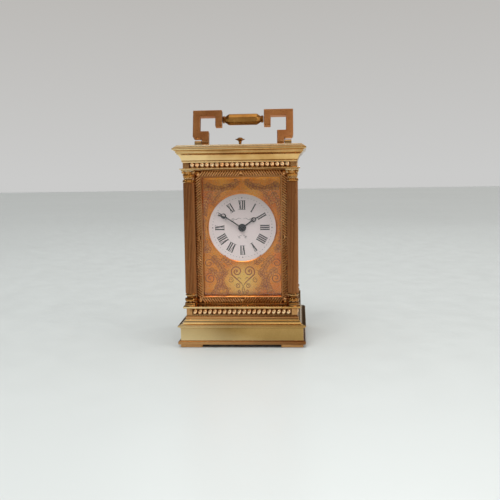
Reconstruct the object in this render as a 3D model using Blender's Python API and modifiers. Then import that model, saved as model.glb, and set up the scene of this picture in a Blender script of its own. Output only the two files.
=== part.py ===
"""Glazed brass carriage clock with repeat button: case, handle, dial, door and two-train movement.

Dimensions are millimetres; the helpers turn them into metres. +Z is up and the dial faces -Y.
"""
import math

import bmesh
import bpy
from mathutils import Matrix, Vector

MM = 0.001
GAP = 0.3

# Case
DEPTH_INSET = 5.0
FOOT = 16.0
FOOT_HEIGHT = 2.6
PLINTH_LEVELS = (
    (45.2, 2.3), (46.0, 2.8), (46.0, 4.3), (45.0, 5.0), (44.25, 5.5), (44.25, 14.1), (45.0, 14.5),
    (46.1, 15.0), (46.1, 16.0), (45.2, 16.6), (43.6, 17.3), (42.2, 18.4), (41.4, 19.4), (41.2, 19.9),
)
LOWER_FRIEZE_LEVELS = (
    (40.8, 20.2), (40.8, 22.1), (40.3, 22.4), (40.3, 27.9), (42.1, 28.1), (42.5, 28.5), (42.5, 29.4),
)
UPPER_FRIEZE_LEVELS = (
    (42.5, 127.9), (42.9, 128.2), (42.9, 128.7), (40.7, 129.0), (40.7, 133.1),
)
CORNICE_LEVELS = (
    (41.1, 133.4), (41.5, 134.3), (42.0, 135.2), (43.2, 137.6), (45.0, 139.7), (45.3, 140.8),
    (46.7, 141.3), (47.2, 142.0), (47.2, 142.8), (44.0, 145.2),
)
RING_OPENING = (33.0, 28.0)
TOP_WINDOW = (24.0, 18.5)
TOP_FLANGE_Z = 143.2
BEAD_COUNT_FRONT = 20
BEAD_COUNT_SIDE = 17
BEAD_PITCH = 3.57
BEAD_RADIUS = (1.25, 1.25, 1.8)
LOWER_BEAD_Z = 25.4
UPPER_BEAD_Z = 131.1
BASE_PLATE = (33.5, 28.5)
BASE_PLATE_Z = (27.2, 29.0)

# Columns
COLUMN_X = 37.1
COLUMN_Y = 32.1
SHAFT_RADIUS = 3.95
COLUMN_BASE_PROFILE = (
    (3.7, 38.3), (3.95, 38.0), (3.95, 37.2), (3.1, 36.6), (3.1, 35.9), (4.3, 34.9), (4.3, 34.0),
    (3.3, 33.0), (3.3, 32.6), (4.65, 31.4), (4.65, 29.7),
)
CAPITAL_PROFILE = (
    (3.7, 127.6), (4.2, 126.2), (4.5, 125.6), (3.7, 124.0), (4.3, 122.6), (3.5, 121.4),
    (3.9, 120.3), (4.3, 119.6), (3.95, 118.8),
)
ABACUS_HALF = 4.6
SHAFT_Z = (38.6, 118.5)

# Glazing and frames
FRAME_Z = (29.7, 127.5)
ROPE_FRAME_Y = (-26.3, -24.3)
ROPE_FRAME_HALF = 34.0
ROPE_OPENING = (28.5, 34.8, 120.6)
FRONT_GLASS_Y = (-24.0, -22.2)
SIDE_FRAME_X = (33.1, 35.1)
SIDE_FRAME_HALF = 26.0
SIDE_FRAME_FRONT = -23.9
SIDE_GLASS_X = (31.1, 32.8)
SIDE_GLASS_HALF = 21.9
BACK_FRAME_Y = (22.2, 24.3)
DOOR_Y = (24.6, 27.2)
DOOR_HALF = 31.2
DOOR_Z = (30.1, 127.1)
DOOR_RAIL = 5.2
DOOR_AXIS = (31.2, 27.4)

# Handle
PIVOT_Z = 148.3
HANDLE_LEAN_DEG = 15.0
LUG_RADIUS = 1.5
LUG_X = (31.4, 36.6)
PIN_RADIUS = 0.5
ARM_HALF_THICKNESS = 2.7
GRIP_Z = 166.2
GRIP_SIDES = 8

# Dial and hands
DIAL_Z = 85.1
DIAL_RADIUS = 25.0
MASK_OPENING = 25.4
MASK_Y = (-18.6, -17.6)
MASK_HALF = 30.8
MASK_Z = (31.0, 125.5)
DIAL_Y = (-18.4, -17.1)
MINUTE_DEG = 303.0
HOUR_DEG = 55.25

# Movement
FRONT_PLATE_Y = (-13.0, -11.0)
BACK_PLATE_Y = (10.0, 12.0)
PLATE_HALF = 26.0
PLATE_Z = (29.3, 113.0)
CENTRE = (0.0, DIAL_Z)
INTERMEDIATE = (-3.4, 73.842)
GOING_BARREL = (-13.0, 63.176)
THIRD = (-6.2, 93.747)
CONTRATE = (0.0, 101.695)
STRIKE_BARREL = (13.0, 63.176)
STRIKE_SECOND = (17.6, 76.769)
STRIKE_THIRD = (13.6, 83.605)
FLY = (16.6, 89.974)
MINUTE_WHEEL = (5.4, 80.337)
HAMMER = (22.5, 42.0)
GONG_CENTRE = (0.0, 60.0)
LEVER_PIVOT = (14.0, 110.0)
BALANCE_Y = -4.0
ESCAPE_Y = 7.9
PALLET_Y = 2.4
PLATFORM_Z = (113.3, 114.8)
WHEEL_ADDENDUM = 0.6
PINION_ADDENDUM = 0.5
DEDENDUM = 1.3
SPOKE_FLARE = 1.3

for old in list(bpy.data.objects):
    bpy.data.objects.remove(old)

clock = bpy.data.collections.new("carriage_clock")
cutters = bpy.data.collections.new("carriage_clock_cutters")
cutters.hide_render = True
bpy.context.scene.collection.children.link(clock)
bpy.context.scene.collection.children.link(cutters)


def material(name, colour, metallic, roughness):
    made = bpy.data.materials.new(name)
    made.use_nodes = True
    shader = made.node_tree.nodes["Principled BSDF"]
    shader.inputs["Base Color"].default_value = (*colour, 1.0)
    shader.inputs["Metallic"].default_value = metallic
    shader.inputs["Roughness"].default_value = roughness
    return made


LOOKS = {
    "polished_brass": ((0.80, 0.58, 0.26), 1.0, 0.16),
    "satin_brass": ((0.62, 0.38, 0.20), 1.0, 0.34),
    "movement_brass": ((0.78, 0.62, 0.33), 1.0, 0.30),
    "steel": ((0.62, 0.62, 0.64), 1.0, 0.25),
    "blued_steel": ((0.02, 0.025, 0.05), 0.6, 0.25),
    "clear_glass": ((0.90, 0.95, 0.94), 0.0, 0.03),
    "enamel": ((0.82, 0.80, 0.79), 0.0, 0.18),
}


def dress(obj, look):
    """Gives the piece a material of its own, named for the piece."""
    made = material(obj.name + "_" + look, *LOOKS[look])
    obj.data.materials.clear()
    obj.data.materials.append(made)
    return obj


def add_mesh(name, shape, home=None):
    mesh = bpy.data.meshes.new(name)
    shape.to_mesh(mesh)
    shape.free()
    obj = bpy.data.objects.new(name, mesh)
    (home or clock).objects.link(obj)
    if home is cutters:
        obj.hide_render = True
        obj.display_type = "WIRE"
    return obj


def block(name, xs, ys, zs, home=None):
    shape = bmesh.new()
    bmesh.ops.create_cube(shape, size=1.0)
    middle = Vector((sum(xs), sum(ys), sum(zs))) * MM / 2
    sides = Vector((xs[1] - xs[0], ys[1] - ys[0], zs[1] - zs[0])) * MM
    bmesh.ops.scale(shape, vec=sides, verts=shape.verts)
    bmesh.ops.translate(shape, vec=middle, verts=shape.verts)
    return add_mesh(name, shape, home)


def rod(name, radius, start, end, sides=12, home=None, end_radius=None):
    """A round bar, or a cone, from one point to another."""
    a, b = Vector(start) * MM, Vector(end) * MM
    shape = bmesh.new()
    bmesh.ops.create_cone(
        shape, cap_ends=True, segments=sides, radius1=radius * MM,
        radius2=(radius if end_radius is None else end_radius) * MM, depth=(b - a).length,
    )
    turn = Vector((0, 0, 1)).rotation_difference(b - a).to_matrix().to_4x4()
    bmesh.ops.transform(shape, matrix=Matrix.Translation((a + b) / 2) @ turn, verts=shape.verts)
    return add_mesh(name, shape, home)


def stepped(name, levels, home=None):
    """A rectangular moulding: the same corner profile on all four sides."""
    shape = bmesh.new()
    loops = []
    for half, z in levels:
        x, y = half * MM, (half - DEPTH_INSET) * MM
        corners = ((-x, -y), (x, -y), (x, y), (-x, y))
        loops.append([shape.verts.new((cx, cy, z * MM)) for cx, cy in corners])
    shape.faces.new(reversed(loops[0]))
    shape.faces.new(loops[-1])
    for low, high in zip(loops, loops[1:]):
        for i in range(4):
            j = (i + 1) % 4
            shape.faces.new((low[i], low[j], high[j], high[i]))
    return add_mesh(name, shape, home)


def turned(name, profile, steps, axis="Z", centre=(0.0, 0.0, 0.0), home=None):
    """A lathe-turned piece; the profile is (radius, height) down the outer side."""
    shape = bmesh.new()
    outline = [(0.0, profile[0][1]), *profile, (0.0, profile[-1][1])]
    points = [shape.verts.new((radius * MM, 0, height * MM)) for radius, height in outline]
    for a, b in zip(points, points[1:]):
        shape.edges.new((a, b))
    obj = add_mesh(name, shape, home)
    screw = obj.modifiers.new("Turn", "SCREW")
    screw.steps = steps
    screw.render_steps = steps
    screw.use_merge_vertices = True
    screw.merge_threshold = 0.000001
    screw.use_smooth_shade = True
    if axis == "X":
        obj.rotation_euler = (0, math.pi / 2, 0)
    if axis == "Y":
        obj.rotation_euler = (-math.pi / 2, 0, 0)
    obj.location = Vector(centre) * MM
    return obj


def flat(name, loops, depth, plane="XZ", home=None):
    """A flat piece cut to its outline; depth is (near, far) across the plane, loops are in millimetres."""
    curve = bpy.data.curves.new(name, "CURVE")
    curve.dimensions = "2D"
    curve.fill_mode = "BOTH"
    curve.extrude = (depth[1] - depth[0]) * MM / 2
    for loop in loops:
        spline = curve.splines.new("POLY")
        spline.points.add(len(loop) - 1)
        spline.use_cyclic_u = True
        for point, (u, v) in zip(spline.points, loop):
            point.co = (u * MM, v * MM, 0, 1)
    drawn = bpy.data.objects.new(name, curve)
    bpy.context.scene.collection.objects.link(drawn)
    bpy.context.view_layer.update()
    mesh = bpy.data.meshes.new_from_object(drawn.evaluated_get(bpy.context.evaluated_depsgraph_get()))
    bpy.data.objects.remove(drawn)
    shape = bmesh.new()
    shape.from_mesh(mesh)
    bpy.data.meshes.remove(mesh)
    bmesh.ops.remove_doubles(shape, verts=shape.verts, dist=1e-7)
    middle = sum(depth) * MM / 2
    planes = {
        "XY": Matrix.Translation((0, 0, middle)),
        "XZ": Matrix.Translation((0, middle, 0)) @ Matrix.Rotation(math.pi / 2, 4, "X"),
        "YZ": Matrix.Translation((middle, 0, 0)) @ Matrix(
            ((0, 0, 1, 0), (1, 0, 0, 0), (0, 1, 0, 0), (0, 0, 0, 1))
        ),
    }
    bmesh.ops.transform(shape, matrix=planes[plane], verts=shape.verts)
    bmesh.ops.recalc_face_normals(shape, faces=shape.faces)
    return add_mesh(name, shape, home)


def combine(target, other, operation):
    if cutters not in other.users_collection:
        for home in list(other.users_collection):
            home.objects.unlink(other)
        cutters.objects.link(other)
    other.hide_render = True
    other.display_type = "WIRE"
    change = target.modifiers.new(operation.title(), "BOOLEAN")
    change.operation = operation
    change.solver = "EXACT"
    change.object = other
    return target


def join(target, *others):
    for other in others:
        combine(target, other, "UNION")
    return target


def cut(target, *others):
    for other in others:
        combine(target, other, "DIFFERENCE")
    return target


def place(obj, centre):
    """Puts the piece's origin on its joint axis without moving the shape."""
    shift = Vector(centre) * MM
    obj.data.transform(Matrix.Translation(-shift))
    obj.location = shift
    return obj


def hang(name, spot, *pieces):
    """An empty on a joint axis that carries the pieces turning about it."""
    axis = bpy.data.objects.new(name, None)
    clock.objects.link(axis)
    axis.location = Vector(spot) * MM
    bpy.context.view_layer.update()
    for piece in pieces:
        piece.parent = axis
        piece.matrix_parent_inverse = axis.matrix_world.inverted()
    return axis


def ring_points(radius, count, centre=(0.0, 0.0), start=0.0):
    turns = [start + 2 * math.pi * i / count for i in range(count)]
    return [(centre[0] + radius * math.cos(a), centre[1] + radius * math.sin(a)) for a in turns]


def rectangle(xs, ys):
    return [(xs[0], ys[0]), (xs[1], ys[0]), (xs[1], ys[1]), (xs[0], ys[1])]


def gear_points(teeth, module, centre, phase, addendum):
    """Tooth outline; a tooth points along the angle phase."""
    pitch = 2 * math.pi / teeth
    tip = (teeth / 2 + addendum) * module
    root = (teeth / 2 - DEDENDUM) * module
    points = []
    for i in range(teeth):
        middle = phase + i * pitch
        for radius, angle in ((tip, middle), (root, middle + 0.5 * pitch)):
            points.append((centre[0] + radius * math.cos(angle), centre[1] + radius * math.sin(angle)))
    return points


def meshed(centre, teeth, phase, other_centre, other_teeth):
    """The phase of a gear that meshes with one already placed."""
    line = math.atan2(other_centre[1] - centre[1], other_centre[0] - centre[0])
    return line + math.pi + math.pi / other_teeth + (line - phase) * teeth / other_teeth


def crossings(centre, inner, outer, arms, half_width):
    """The openings between the spokes of a wheel."""
    openings = []
    for i in range(arms):
        middle = 2 * math.pi * (i + 0.5) / arms
        reach = math.pi / arms
        near = reach - math.asin(SPOKE_FLARE * half_width / inner)
        far = reach - math.asin(half_width / outer)
        loop = [
            (inner, -near), (outer, -far), (outer, -far / 3), (outer, far / 3), (outer, far), (inner, near),
        ]
        openings.append([
            (centre[0] + r * math.cos(middle + a), centre[1] + r * math.sin(middle + a)) for r, a in loop
        ])
    return openings


def arbor(name, centre, radius, ys, sides=8):
    return rod(name, radius, (centre[0], ys[0], centre[1]), (centre[0], ys[1], centre[1]), sides, cutters)


def wheel(name, centre, teeth, module, phase, depth, rim, arms=4, spoke=0.6, hub=1.6):
    """A toothed wheel with spokes, as one flat piece."""
    root = (teeth / 2 - DEDENDUM) * module
    loops = [gear_points(teeth, module, centre, phase, WHEEL_ADDENDUM)]
    if arms:
        loops += crossings(centre, hub, root - rim, arms, spoke)
    return flat(name, loops, depth)


def pinion(name, centre, leaves, module, phase, depth):
    return flat(name, [gear_points(leaves, module, centre, phase, PINION_ADDENDUM)], depth, home=cutters)


def smooth(obj):
    for face in obj.data.polygons:
        face.use_smooth = True
    return obj


# ---------------------------------------------------------------- case mouldings
def opening(name, half, zs):
    return block(name, (-half[0], half[0]), (-half[1], half[1]), zs, cutters)


plinth = stepped("plinth", PLINTH_LEVELS)
for side_x in (-1, 1):
    for side_y in (-1, 1):
        far_x = side_x * 44.3
        far_y = side_y * (44.3 - DEPTH_INSET)
        near_x = far_x - side_x * FOOT
        near_y = far_y - side_y * FOOT
        join(plinth, block(
            f"foot_{side_x}_{side_y}", sorted((far_x, near_x)), sorted((far_y, near_y)),
            (0.0, FOOT_HEIGHT), cutters,
        ))
cut(plinth, opening("plinth_opening", RING_OPENING, (1.0, 25.0)))
dress(plinth, "polished_brass")


def beads(name, z, half):
    """Rows of small rounded beads on all four faces, as one helper mesh."""
    shape = bmesh.new()
    half_y = half - DEPTH_INSET
    rows = (
        (BEAD_COUNT_FRONT, (1, 0), (0, -half_y)), (BEAD_COUNT_FRONT, (1, 0), (0, half_y)),
        (BEAD_COUNT_SIDE, (0, 1), (-half, 0)), (BEAD_COUNT_SIDE, (0, 1), (half, 0)),
    )
    for count, along, face in rows:
        for i in range(count):
            step = (i - (count - 1) / 2) * BEAD_PITCH
            spot = Vector((face[0] + along[0] * step, face[1] + along[1] * step, z)) * MM
            turn = Matrix.Rotation(0.0 if along[0] else math.pi / 2, 4, "Z")
            stretch = Matrix.Diagonal((*(Vector(BEAD_RADIUS) * MM), 1.0))
            bmesh.ops.create_uvsphere(
                shape, u_segments=6, v_segments=3, radius=1.0,
                matrix=Matrix.Translation(spot) @ turn @ stretch,
            )
    return add_mesh(name, shape, cutters)


lower_frieze = stepped("lower_frieze", LOWER_FRIEZE_LEVELS)
join(lower_frieze, beads("lower_beads", LOWER_BEAD_Z, 40.1))
cut(
    lower_frieze,
    opening("lower_opening", (31.0, 26.0), (19.0, 31.0)),
    opening("lower_rebate", (BASE_PLATE[0] + GAP, BASE_PLATE[1] + GAP), (BASE_PLATE_Z[0] - GAP, 31.0)),
)
dress(lower_frieze, "polished_brass")

base_x, base_y = BASE_PLATE
base_plate = block("base_plate", (-base_x, base_x), (-base_y, base_y), BASE_PLATE_Z)
dress(base_plate, "movement_brass")

upper_frieze = stepped("upper_frieze", UPPER_FRIEZE_LEVELS)
join(upper_frieze, beads("upper_beads", UPPER_BEAD_Z, 40.5))
cut(upper_frieze, opening("upper_opening", RING_OPENING, (126.0, 135.0)))
dress(upper_frieze, "polished_brass")

cornice = stepped("cornice", CORNICE_LEVELS)
cut(
    cornice,
    opening("cornice_opening", RING_OPENING, (132.0, TOP_FLANGE_Z)),
    opening("cornice_window", TOP_WINDOW, (140.0, 147.0)),
    rod("button_hole", 1.35, (0, -26, 140), (0, -26, 147), 16, cutters),
)
dress(cornice, "polished_brass")

# ---------------------------------------------------------------- columns
CORNERS = {
    "front_left": (-COLUMN_X, -COLUMN_Y), "front_right": (COLUMN_X, -COLUMN_Y),
    "back_left": (-COLUMN_X, COLUMN_Y), "back_right": (COLUMN_X, COLUMN_Y),
}
for corner, (x, y) in CORNERS.items():
    foot = turned("column_base_" + corner, COLUMN_BASE_PROFILE, 12, centre=(x, y, 0))
    dress(foot, "polished_brass")
    shaft = smooth(rod("column_shaft_" + corner, SHAFT_RADIUS, (x, y, SHAFT_Z[0]), (x, y, SHAFT_Z[1]), 24))
    dress(shaft, "satin_brass")
    capital = turned("capital_" + corner, CAPITAL_PROFILE, 12, centre=(x, y, 0))
    abacus = block("abacus_" + corner, (x - ABACUS_HALF, x + ABACUS_HALF), (y - ABACUS_HALF, y + ABACUS_HALF),
                   (126.6, 127.6), cutters)
    join(capital, abacus)
    dress(capital, "polished_brass")


# ---------------------------------------------------------------- glazing
def pane(name, xs, ys, zs, bevel):
    obj = block(name, xs, ys, zs)
    edge = obj.modifiers.new("Edge", "BEVEL")
    edge.width = bevel * MM
    edge.segments = 1
    return dress(obj, "clear_glass")


rope_frame = flat(
    "rope_frame",
    [
        rectangle((-ROPE_FRAME_HALF, ROPE_FRAME_HALF), FRAME_Z),
        rectangle((-ROPE_OPENING[0], ROPE_OPENING[0]), ROPE_OPENING[1:]),
    ],
    ROPE_FRAME_Y,
)
dress(rope_frame, "satin_brass")
pane("front_glass", (-32.5, 32.5), FRONT_GLASS_Y, (30.2, 127.2), 0.5)
for side, sign in (("left", -1), ("right", 1)):
    frame_x = sorted((sign * SIDE_FRAME_X[0], sign * SIDE_FRAME_X[1]))
    glass_x = sorted((sign * SIDE_GLASS_X[0], sign * SIDE_GLASS_X[1]))
    side_frame = flat(
        "side_frame_" + side,
        [
            rectangle((SIDE_FRAME_FRONT, SIDE_FRAME_HALF), FRAME_Z),
            rectangle((-20.5, 20.5), ROPE_OPENING[1:]),
        ],
        frame_x,
        "YZ",
    )
    dress(side_frame, "satin_brass")
    pane(side + "_glass", glass_x, (-SIDE_GLASS_HALF, SIDE_GLASS_HALF), (30.2, 127.2), 0.5)
back_frame = flat(
    "back_frame",
    [rectangle((-32.9, 32.9), FRAME_Z), rectangle((-29.5, 29.5), (32.5, 124.7))],
    BACK_FRAME_Y,
)
dress(back_frame, "polished_brass")
pane("top_glass", (-28.0, 28.0), (-22.5, 22.5), (140.4, 142.9), 0.5)

# ---------------------------------------------------------------- rear door
door_inner_x = DOOR_HALF - DOOR_RAIL
door_inner_z = (DOOR_Z[0] + DOOR_RAIL, DOOR_Z[1] - DOOR_RAIL)
door_frame = flat(
    "door_frame",
    [
        rectangle((-DOOR_HALF, DOOR_HALF), DOOR_Z),
        rectangle((-door_inner_x, door_inner_x), door_inner_z),
    ],
    DOOR_Y,
)
door_glass = pane(
    "door_glass", (-door_inner_x + GAP, door_inner_x - GAP), (25.0, 26.8),
    (door_inner_z[0] + GAP, door_inner_z[1] - GAP), 0.4,
)
door_knob = turned(
    "door_knob",
    (
        (0.5, 4.2), (1.5, 4.0), (2.1, 3.2), (2.1, 2.6), (1.5, 1.9), (0.9, 1.4), (0.9, 0.5), (1.9, 0.3),
        (1.9, 0.0),
    ),
    16, "Y", (-28.6, DOOR_Y[1] + GAP, 78.6),
)
dress(door_frame, "polished_brass")
dress(door_knob, "polished_brass")
hang("door_hinge_axis", (*DOOR_AXIS, 78.6), door_frame, door_glass, door_knob)

# ---------------------------------------------------------------- handle
ARM_INNER_X = 25.8
ARM_FOOT_X = 31.0
ARM_OUTLINE = (
    (15.9, 173.1), (15.9, 160.5), (20.9, 160.5), (20.9, 168.4), (32.5, 168.4), (32.5, 156.7),
    (ARM_INNER_X, 156.7), (ARM_INNER_X, PIVOT_Z), (ARM_FOOT_X, PIVOT_Z), (ARM_FOOT_X, 150.2),
    (31.9, 151.3), (36.8, 151.3), (37.9, 152.5), (37.9, 173.1),
)
handle_pieces = []
for side, sign in (("left", -1), ("right", 1)):
    outline = [(sign * x, z) for x, z in ARM_OUTLINE]
    arm = flat("handle_arm_" + side, [outline], (-ARM_HALF_THICKNESS, ARM_HALF_THICKNESS))
    foot_low, foot_high = (sign * ARM_INNER_X, 0, PIVOT_Z), (sign * ARM_FOOT_X, 0, PIVOT_Z)
    pin_low, pin_high = (sign * 30.0, 0, PIVOT_Z), (sign * 35.8, 0, PIVOT_Z)
    foot = rod("arm_foot_" + side, ARM_HALF_THICKNESS, foot_low, foot_high, 24, cutters)
    pin = rod("pin_" + side, PIN_RADIUS, pin_low, pin_high, 10, cutters)
    join(dress(arm, "satin_brass"), foot, pin)
    handle_pieces += [arm, foot, pin]
    dome = [
        (LUG_RADIUS * math.cos(math.pi * i / 8), PIVOT_Z + LUG_RADIUS * math.sin(math.pi * i / 8))
        for i in range(9)
    ]
    lug = flat(
        "handle_post_" + side,
        [
            [(LUG_RADIUS, 145.5), *dome, (-LUG_RADIUS, 145.5)],
            ring_points(PIN_RADIUS + GAP, 12, (0, PIVOT_Z)),
        ],
        sorted((sign * LUG_X[0], sign * LUG_X[1])),
        "YZ",
    )
    dress(lug, "polished_brass")

GRIP_HALF = ((2.2, 15.5), (2.9, 15.2), (2.9, 14.6), (2.2, 14.2), (2.3, 13.4), (4.5, 10.5))
grip_profile = [*GRIP_HALF, *((radius, -reach) for radius, reach in reversed(GRIP_HALF))]
handle_grip = turned("handle_grip", grip_profile, GRIP_SIDES, "X", (0, 0, GRIP_Z))
dress(handle_grip, "polished_brass")
handle_axis = hang("handle_axis", (0, 0, PIVOT_Z), handle_grip, *handle_pieces)
handle_axis.rotation_euler.x = -math.radians(HANDLE_LEAN_DEG)

repeat_button = turned(
    "repeat_button",
    (
        (0.6, 150.5), (2.4, 150.1), (3.35, 149.4), (3.35, 148.9), (2.0, 148.3), (1.2, 147.6), (0.97, 146.9),
        (0.97, 131.0),
    ),
    16, centre=(0, -26, 0),
)
dress(repeat_button, "polished_brass")

# ---------------------------------------------------------------- dial, mask and hands
mask = flat(
    "mask",
    [rectangle((-MASK_HALF, MASK_HALF), MASK_Z), ring_points(MASK_OPENING, 64, (0, DIAL_Z))],
    MASK_Y,
)
dress(mask, "polished_brass")
dial = flat(
    "dial", [ring_points(DIAL_RADIUS, 64, (0, DIAL_Z)), ring_points(2.5, 16, (0, DIAL_Z))], DIAL_Y,
)
dress(dial, "enamel")


def hand_loops(boss, bore, width, ring_centre, ring_radius, moon, length, degrees):
    """A pierced-moon hand that points to the clockwise angle given in degrees."""
    low = math.asin(width / 2 / boss)
    mid = math.asin(width / 2 / ring_radius)
    outline = []
    for i in range(13):
        a = math.pi / 2 + low + (2 * math.pi - 2 * low) * i / 12
        outline.append((boss * math.cos(a), boss * math.sin(a)))
    for i in range(9):
        a = -math.pi / 2 + mid + (math.pi - 2 * mid) * i / 8
        outline.append((ring_radius * math.cos(a), ring_centre + ring_radius * math.sin(a)))
    outline += [(0.12, length), (-0.12, length)]
    for i in range(9):
        a = math.pi / 2 + mid + (math.pi - 2 * mid) * i / 8
        outline.append((ring_radius * math.cos(a), ring_centre + ring_radius * math.sin(a)))
    hole = ring_points(moon, 12, (0, ring_centre + 0.25))
    bore_loop = ring_points(bore, 12)
    turn = math.radians(degrees)
    right, up = math.cos(turn), math.sin(turn)
    return [
        [(x * right + y * up, DIAL_Z - x * up + y * right) for x, y in loop]
        for loop in (outline, hole, bore_loop)
    ]


hour_hand = flat("hour_hand", hand_loops(2.9, 1.35, 0.9, 10.3, 1.75, 1.0, 13.4, HOUR_DEG), (-19.4, -18.9))
dress(place(hour_hand, (0, -19.15, DIAL_Z)), "blued_steel")
minute_loops = hand_loops(2.0, 0.4, 0.8, 16.1, 1.9, 1.15, 21.3, MINUTE_DEG)[:2]
minute_hand = flat("minute_hand", minute_loops, (-20.6, -20.1))
collet_profile = ((0.4, 1.4), (1.1, 1.2), (1.6, 0.8), (1.8, 0.0))
collet = turned("minute_collet", collet_profile, 16, "Y", (0, -20.2, DIAL_Z), cutters)
collet.rotation_euler = (math.pi / 2, 0, 0)
join(minute_hand, collet)
dress(place(minute_hand, (0, 0, DIAL_Z)), "blued_steel")

# ---------------------------------------------------------------- movement plates
PILLARS = ((-22.5, 34.0), (22.5, 34.0), (-22.5, 108.0), (22.5, 108.0))


def hole(name, centre, radius, ys):
    return arbor(name, centre, radius, (ys[0] - 1, ys[1] + 1), 12)


front_plate = block("front_plate", (-PLATE_HALF, PLATE_HALF), FRONT_PLATE_Y, PLATE_Z)
cut(front_plate, hole("centre_front_hole", CENTRE, 1.3, FRONT_PLATE_Y))
for i, spot in enumerate(PILLARS):
    join(front_plate, arbor(f"pillar_{i}", spot, 1.8, (FRONT_PLATE_Y[1] - 0.5, BACK_PLATE_Y[0] - GAP), 12))
dress(front_plate, "movement_brass")
back_plate = block("back_plate", (-PLATE_HALF, PLATE_HALF), BACK_PLATE_Y, PLATE_Z)
cut(
    back_plate,
    hole("going_hole", GOING_BARREL, 1.9, BACK_PLATE_Y),
    hole("strike_hole", STRIKE_BARREL, 1.9, BACK_PLATE_Y),
    hole("centre_back_hole", CENTRE, 1.3, BACK_PLATE_Y),
    hole("hammer_hole", HAMMER, 1.3, BACK_PLATE_Y),
)
dress(back_plate, "movement_brass")

# ---------------------------------------------------------------- going train
ARBOR_Y = (FRONT_PLATE_Y[1] + GAP, BACK_PLATE_Y[0] - GAP)
BARREL_TEETH, BARREL_MODULE = 60, 0.41
BARREL_PINION = 10
GREAT_TEETH, GREAT_MODULE = 48, 0.42
CENTRE_PINION = 8
CENTRE_TEETH, CENTRE_MODULE = 48, 0.38
THIRD_PINION = 8
THIRD_TEETH, THIRD_MODULE = 48, 0.36
CONTRATE_PINION = 8
CONTRATE_TEETH = 36


def barrel(name, centre, phase):
    """A spring barrel with its toothed rim, arbor and winding square."""
    body = wheel(name, centre, BARREL_TEETH, BARREL_MODULE, phase, (-9.2, -7.8), 0, arms=0)
    x, z = centre
    join(
        body,
        rod(name + "_drum", 10.9, (x, -8.4, z), (x, 4.0, z), 32, cutters),
        arbor(name + "_arbor", centre, 1.5, (ARBOR_Y[0], 16.0)),
        rod(name + "_square", 1.3, (x, 15.5, z), (x, 21.0, z), 4, cutters),
    )
    return dress(place(body, (x, 0, z)), "movement_brass")


centre_phase = 0.0
centre_pinion_phase = 0.0
intermediate_phase = meshed(CENTRE, CENTRE_PINION, centre_pinion_phase, INTERMEDIATE, GREAT_TEETH)
barrel_pinion_phase = 0.13
going_phase = meshed(INTERMEDIATE, BARREL_PINION, barrel_pinion_phase, GOING_BARREL, BARREL_TEETH)
third_pinion_phase = meshed(CENTRE, CENTRE_TEETH, centre_phase, THIRD, THIRD_PINION)
third_phase = 0.0
contrate_pinion_phase = meshed(THIRD, THIRD_TEETH, third_phase, CONTRATE, CONTRATE_PINION)

barrel("going_barrel", GOING_BARREL, going_phase)

intermediate_wheel = wheel(
    "intermediate_wheel", INTERMEDIATE, GREAT_TEETH, GREAT_MODULE, intermediate_phase, (5.2, 6.1), 1.3,
)
join(
    intermediate_wheel,
    arbor("intermediate_arbor", INTERMEDIATE, 0.9, ARBOR_Y),
    pinion(
        "intermediate_pinion", INTERMEDIATE, BARREL_PINION, BARREL_MODULE, barrel_pinion_phase, (-9.8, -7.2),
    ),
)
dress(place(intermediate_wheel, (INTERMEDIATE[0], 0, INTERMEDIATE[1])), "movement_brass")

CANNON_TEETH, CANNON_MODULE = 12, 0.3
MINUTE_TEETH = 36
MINUTE_PINION, HOUR_MODULE = 10, 0.288
HOUR_TEETH = 40
cannon_phase = 0.0
minute_phase = meshed(CENTRE, CANNON_TEETH, cannon_phase, MINUTE_WHEEL, MINUTE_TEETH)
minute_pinion_phase = 0.0
hour_phase = meshed(MINUTE_WHEEL, MINUTE_PINION, minute_pinion_phase, CENTRE, HOUR_TEETH)

centre_wheel = wheel("centre_wheel", CENTRE, CENTRE_TEETH, CENTRE_MODULE, centre_phase, (-6.0, -5.2), 1.2)
join(
    centre_wheel,
    arbor("centre_arbor", CENTRE, 0.9, (-19.8, 19.0)),
    pinion("centre_pinion", CENTRE, CENTRE_PINION, GREAT_MODULE, centre_pinion_phase, (4.7, 6.6)),
    pinion("cannon_pinion", CENTRE, CANNON_TEETH, CANNON_MODULE, cannon_phase, (-14.7, -13.7)),
)
dress(place(centre_wheel, (0, 0, DIAL_Z)), "movement_brass")

hour_wheel = flat(
    "hour_wheel",
    [gear_points(HOUR_TEETH, HOUR_MODULE, CENTRE, hour_phase, WHEEL_ADDENDUM), ring_points(1.3, 12, CENTRE)],
    (-16.3, -15.5),
)
join(hour_wheel, flat(
    "hour_pipe", [ring_points(2.1, 16, CENTRE), ring_points(1.3, 12, CENTRE)], (-18.6, -15.7), home=cutters,
))
dress(place(hour_wheel, (0, 0, DIAL_Z)), "movement_brass")

minute_wheel = wheel(
    "minute_wheel", MINUTE_WHEEL, MINUTE_TEETH, CANNON_MODULE, minute_phase, (-14.6, -13.8), 0, arms=0,
)
join(
    minute_wheel,
    pinion("minute_pinion", MINUTE_WHEEL, MINUTE_PINION, HOUR_MODULE, minute_pinion_phase, (-16.5, -14.2)),
)
dress(place(minute_wheel, (MINUTE_WHEEL[0], 0, MINUTE_WHEEL[1])), "movement_brass")

third_wheel = wheel("third_wheel", THIRD, THIRD_TEETH, THIRD_MODULE, third_phase, (0.5, 1.3), 1.1)
join(
    third_wheel,
    arbor("third_arbor", THIRD, 0.7, ARBOR_Y),
    pinion("third_pinion", THIRD, THIRD_PINION, CENTRE_MODULE, third_pinion_phase, (-6.8, -4.4)),
)
dress(place(third_wheel, (THIRD[0], 0, THIRD[1])), "movement_brass")

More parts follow.
